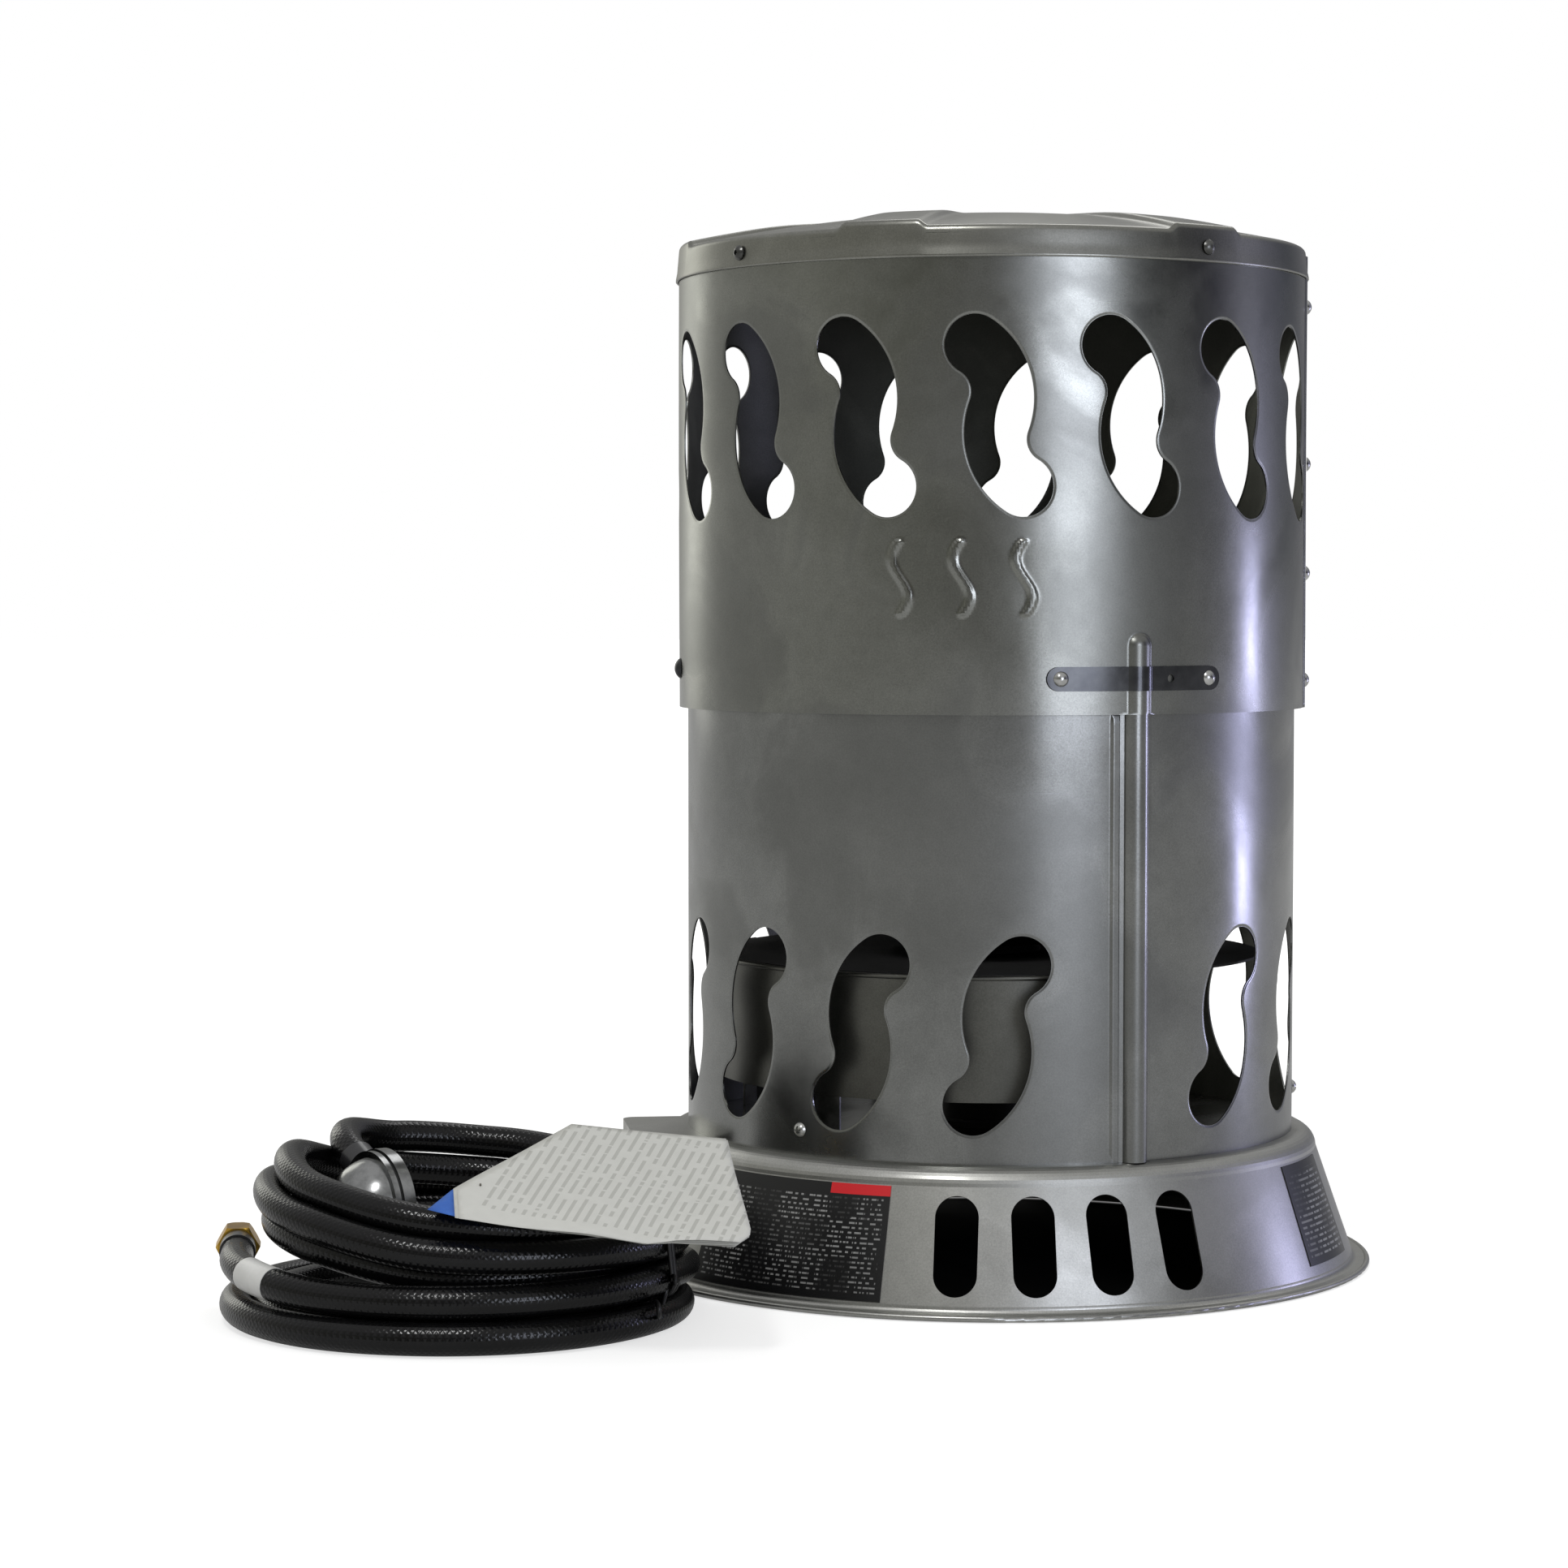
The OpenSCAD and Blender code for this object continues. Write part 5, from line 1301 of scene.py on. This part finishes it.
@dataclass
class DrumShells:
    """The lower and upper shells, rolled from flat sheet, and the bead that covers the lower one's seam."""

    lower_r: float = 160.4
    upper_r: float = 165.0
    sheet_t: float = 0.8
    low_z: float = 70.52
    collar_z: float = 297.0
    lower_top: float = 318.0
    upper_z: float = 292.6
    upper_top: float = 527.9
    bead_at: float = 26.5
    bead_r: float = 6.5
    bead_flare: float = 2.4
    bump_r: float = 7.6
    bump_top: float = 334.0
    seam_at: float = 85.8
    lower_vent_z: float = 134.5
    lower_vent_step: float = 25.2
    upper_vent_z: float = 438.9
    upper_vent_step: float = 23.52
    press_z: tuple[float, float] = (341.0, 378.7)
    press_at: Point = (-15.6, -4.9, 5.8)
    press_swing: float = 4.2
    press_h: float = 0.75
    press_half: float = 0.8
    press_edge: float = 1.1
    bump_soft: float = 0.28
    lap_gap: float = 0.1
    vent: VentShape = VentShape()

    def lower_relief(self, theta: Array, z: Array) -> Array:
        """The lower sheet's relief: its lap beside the bead, its collar and the least unevenness."""
        lap = smoothstep(21.7, 22.0, theta) * (self.sheet_t + self.lap_gap) * (1 - smoothstep(288, 296, z))
        collar = smoothstep(self.collar_z, self.collar_z + 4, z) * 3.3
        uneven = (0.16 * np.sin(np.radians(theta * 3 + 40)) * np.sin(z / 47 + 0.6)
                  + 0.08 * np.sin(np.radians(theta * 7)) * np.cos(z / 31))
        return lap + collar + uneven

    def upper_relief(self, theta: Array, z: Array) -> Array:
        """The upper sheet's relief: the bump over the bead, three pressed waves, the lap and unevenness."""
        lateral = np.radians(theta - self.bead_at) * self.upper_r
        above = np.maximum(z - (self.bump_top - self.bump_r), 0)
        ball = np.maximum(self.bump_r ** 2 - lateral ** 2 - above ** 2, 0)
        bump = self.lower_r + np.sqrt(ball) - self.upper_r
        out = np.log1p(np.exp(np.clip(bump / self.bump_soft, -40, 40))) * self.bump_soft
        low, high = self.press_z
        share = np.clip((z - low) / (high - low), 0, 1)
        for at in self.press_at:
            line = np.radians(theta - at) * self.upper_r - self.press_swing * np.sin(FULL_TURN * share)
            ends = np.maximum(np.maximum(low + 2 - z, z - high + 2), 0)
            away = np.sqrt((line * 0.84) ** 2 + ends ** 2)
            past = np.maximum(away - self.press_half, 0)
            out = out + self.press_h * np.exp(-past ** 2 / self.press_edge ** 2)
        lap = smoothstep(self.seam_at - 2.95, self.seam_at - 2.7, theta) * (self.sheet_t + self.lap_gap)
        uneven = (0.15 * np.sin(np.radians(theta * 3 - 20)) * np.sin(z / 53)
                  + 0.07 * np.sin(np.radians(theta * 8)) * np.cos(z / 37))
        return out + lap + uneven

    def vents_at(self, angles: list[float], radius: float, z: float, lean: int) -> list[Array]:
        """Places vent outlines on a flat sheet.

        Args:
            angles: the vents' directions.
            radius: the sheet's radius.
            z: the vents' height.
            lean: 1, or -1 where they lean the other way.

        Returns:
            The outlines on the flat sheet.
        """
        return [self.vent.outline() * [lean, 1] + [math.radians(a) * radius, z] for a in angles]

    def lower(self) -> Piece:
        """Rolls the lower shell."""
        start, end = self.bead_at - 360.0, self.bead_at
        left = [1.4 - self.lower_vent_step * k for k in range(7)]
        right = [48.2 + self.lower_vent_step * k - 360 for k in range(6)]
        angles = [a if a > start else a + 360 for a in left + right]
        vents = self.vents_at(angles, self.lower_r, self.lower_vent_z, -1)
        fine = [(21.0, 22.8, 75.0, 294.0, 1.3), (start + 0.5, end - 0.5, 294.0, 303.0, 3.0)]
        return SheetPlan(self.lower_r, start, end, self.low_z, self.lower_top, self.sheet_t,
                         self.lower_relief, vents, fine).roll("lower_shell_sheet")

    def upper(self) -> Piece:
        """Rolls the upper shell, whose seam closes at the side."""
        end = self.seam_at + 2.78
        start = end - 360.0 - 5.56
        angles = [1.44 + self.upper_vent_step * k + (7.2 if k > 3 else 0.0) for k in range(-3, 12)]
        angles = [a if a < self.seam_at else a - 360 for a in angles]
        vents = self.vents_at(angles, self.upper_r, self.upper_vent_z, 1)
        fine = [(self.bead_at - 4.2, self.bead_at + 4.2, 294.0, 338.0, 0.95),
                (-19.5, 9.7, 338.0, 381.5, 1.15),
                (self.seam_at - 3.2, self.seam_at - 2.4, 296.0, 524.0, 1.2)]
        return SheetPlan(self.upper_r, start, end, self.upper_z, self.upper_top, self.sheet_t,
                         self.upper_relief, vents, fine).roll("upper_shell_sheet")

    def bead(self) -> Piece:
        """Forms the half-round bead that covers the lower seam, with a small flare along each foot."""
        foot, toe = self.bead_r + 1.2, self.bead_r + self.bead_flare
        section = [(-toe, 1.15), (-foot, 1.25)]
        section += [(-self.bead_r * math.cos(q) * (1.0 if 0.2 < q < math.pi - 0.2 else 1.03),
                     1.2 + (self.bead_r - 1.0) * math.sin(q)) for q in np.linspace(0.06, math.pi - 0.06, 25)]
        section += [(foot, 1.25), (toe, 1.15), (toe, 0.3), (-toe, 0.3)]
        outward, sideways = compass(self.bead_at)
        levels = np.linspace(self.low_z + 0.2, self.lower_top - 8, 14)
        verts = [(self.lower_r + out - side ** 2 / (2 * self.lower_r)) * outward + side * sideways
                 + UP * level for level in levels for side, out in section]
        wide = len(section)
        ends = [tuple(range(wide)), tuple((len(levels) - 1) * wide + k for k in reversed(range(wide)))]
        return make_object("seam_bead", np.array(verts), quads(len(levels), wide) + ends, 40)

    def build(self) -> None:
        """Builds both shells and the bead, and dresses them."""
        for piece, finish, node, slot in ((self.lower(), LOWER_ZINC, "lower_shell", "galvanised_shell"),
                                          (self.upper(), UPPER_ZINC, "upper_shell", "galvanised_upper")):
            # The inner faces take the darker inner zinc, whose colour is painted shade.
            dress(piece, finish, SHADE_DARKENED_INNER_ZINC)
            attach(piece, "heater")
            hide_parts(node)
            LOG.info("%s: %d faces", piece.name, len(piece.data.polygons))
        bead = self.bead()
        dress(bead, LOWER_ZINC)
        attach(bead, "heater")
        LOG.info("seam bead")


@dataclass
class TopCap:
    """The pressed cap: a shallow dome with raised ribs, a rolled corner and a short skirt."""

    skirt_r: float = 166.3
    corner_r: float = 3.0
    taper: float = 1.4
    hem: float = 0.35
    low_z: float = 516.0
    rim_z: float = 532.0
    top_z: float = 549.8
    rib_h: float = 3.0
    ribs: int = 6
    rib_at: float = -19.3
    rib_half: float = 6.6
    rib_edge: float = 1.9
    rib_in: float = 60.0
    sheet_t: float = 0.8
    columns: int = 720

    def raised(self, theta: Array) -> Array:
        """How much of a rib's height each direction has."""
        away = np.abs(np.mod(theta - self.rib_at + 180 / self.ribs, 360 / self.ribs) - 180 / self.ribs)
        return 1 - smoothstep(self.rib_half, self.rib_half + self.rib_edge, away)

    def build(self) -> None:
        """Presses the cap from one sheet."""
        rim = self.skirt_r - self.taper - self.corner_r
        rise = self.top_z - self.rim_z
        ball = (rim ** 2 + rise ** 2) / (2 * rise)
        theta = np.linspace(0, 360, self.columns, endpoint=False)
        lift = self.rib_h * self.raised(theta)
        # Each ring's outer radius and height, and then its inner ones: dome, rolled corner and skirt.
        rings: list[tuple[Any, ...]] = []
        for radius in [*np.linspace(4, rim - 6, 44), rim - 4, rim - 2, rim]:
            rib = lift * smoothstep(self.rib_in, 2.1 * self.rib_in, radius)
            z = self.top_z - ball + math.sqrt(ball ** 2 - radius ** 2) + rib
            rings.append((radius, z, radius, z - self.sheet_t))
        for q in np.radians([18, 36, 54, 72, 90]):
            radius = rim + self.corner_r * math.sin(q)
            z = self.rim_z - self.corner_r * (1 - math.cos(q)) + lift
            rings.append((radius, z, radius - self.sheet_t * math.sin(q), z - self.sheet_t * math.cos(q)))
        for share in (0.2, 0.45, 0.7, 0.9, 0.97, 1.0):
            z = (self.rim_z - self.corner_r + lift) * (1 - share) + self.low_z * share
            radius = self.skirt_r - self.taper * (1 - share) + (self.hem if 0.85 < share < 0.99 else 0.0)
            rings.append((radius, z, radius - self.sheet_t, z))
        layers = [on_drum(theta, radius, z) for radius, z, _, _ in rings]
        layers += [on_drum(theta, radius, z) for _, _, radius, z in reversed(rings)]
        faces = [(a, d, c, b) for a, b, c, d in quads(len(layers), self.columns)]
        pole, last = len(layers) * self.columns, (len(layers) - 1) * self.columns
        for k in range(self.columns):
            m = (k + 1) % self.columns
            faces += [(pole, k, m), (pole + 1, last + m, last + k)]
        poles = [UP * self.top_z, UP * (self.top_z - self.sheet_t)]
        cap = make_object("top_cap_pressing", np.vstack(layers + poles), faces, 50)
        dress(cap, CAP_ZINC)
        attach(cap, "heater")
        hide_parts("top_cap")
        LOG.info("top cap: %d faces", len(cap.data.polygons))


@dataclass
class PanelDial:
    """The printed arc of ticks on the panel behind the knob, open on the side of the two buttons."""

    panel_at: float = -80.0
    panel_d: float = 193.0
    knob_z: float = 39.0
    inner_r: float = 18.8
    outer_r: float = 24.5
    film_from: float = 0.02
    film_t: float = 0.18
    open_deg: float = 50.0
    steps: int = 96

    def build(self) -> None:
        """Builds the arc flat on the panel."""
        outward, sideways = compass(self.panel_at)
        middle = outward * self.panel_d + UP * self.knob_z
        count = self.steps + 1
        turn = np.radians(np.linspace(self.open_deg, 360 - self.open_deg, count))
        rows = ((self.inner_r, self.film_from), (self.inner_r, self.film_t), (self.outer_r, self.film_t),
                (self.outer_r, self.film_from))
        verts = [middle + outward * out + sideways * radius * math.cos(t) + UP * (radius * math.sin(t))
                 for radius, out in rows for t in turn]
        faces: Faces = [(0, count, 2 * count, 3 * count),
                        (4 * count - 1, 3 * count - 1, 2 * count - 1, count - 1)]
        ring = make_object("dial_ring", np.array(verts), faces + quads(4, count, True, False), 30)
        row, place = np.divmod(corner_points(ring), count)
        map_uv(ring, "dial", place / self.steps, row >= 2)
        dress(ring, TickedDial())
        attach(ring, "heater")
        LOG.info("dial ring")


@dataclass
class ShieldHem:
    """The folded hem along the heat shield's upper edge."""

    radius: float = 145.6
    start: float = -117.6
    end: float = 30.6
    hem_r: float = 1.3
    drop: float = 0.2

    def build(self) -> None:
        """Rolls the hem along the edge."""
        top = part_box("heat_shield")[1][2] / MM
        line = on_drum(np.linspace(self.start, self.end, 180), self.radius, top - self.drop)
        hem = tube("shield_hem", line, self.hem_r, 12)
        dress(hem, SHIELD_ZINC)
        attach(hem, "heater")
        LOG.info("shield hem")


def dress_cad() -> None:
    """Gives each carried-over CAD node its finish."""
    for name, finish in CAD_FINISHES.items():
        dress(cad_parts[name], finish)
        LOG.info("%s: %s", name, finish.name)


def main() -> None:
    """Builds the studio, the camera and the cord first, and then each sub-assembly in order."""
    logging.basicConfig(level=logging.INFO, format="%(name)s: %(message)s")
    for part in (Studio(), HoseSet(), Leaflet(), DrumShells(), TopCap(), PanelDial(), ShieldHem()):
        part.build()
    dress_cad()


if __name__ == "__main__":
    main()
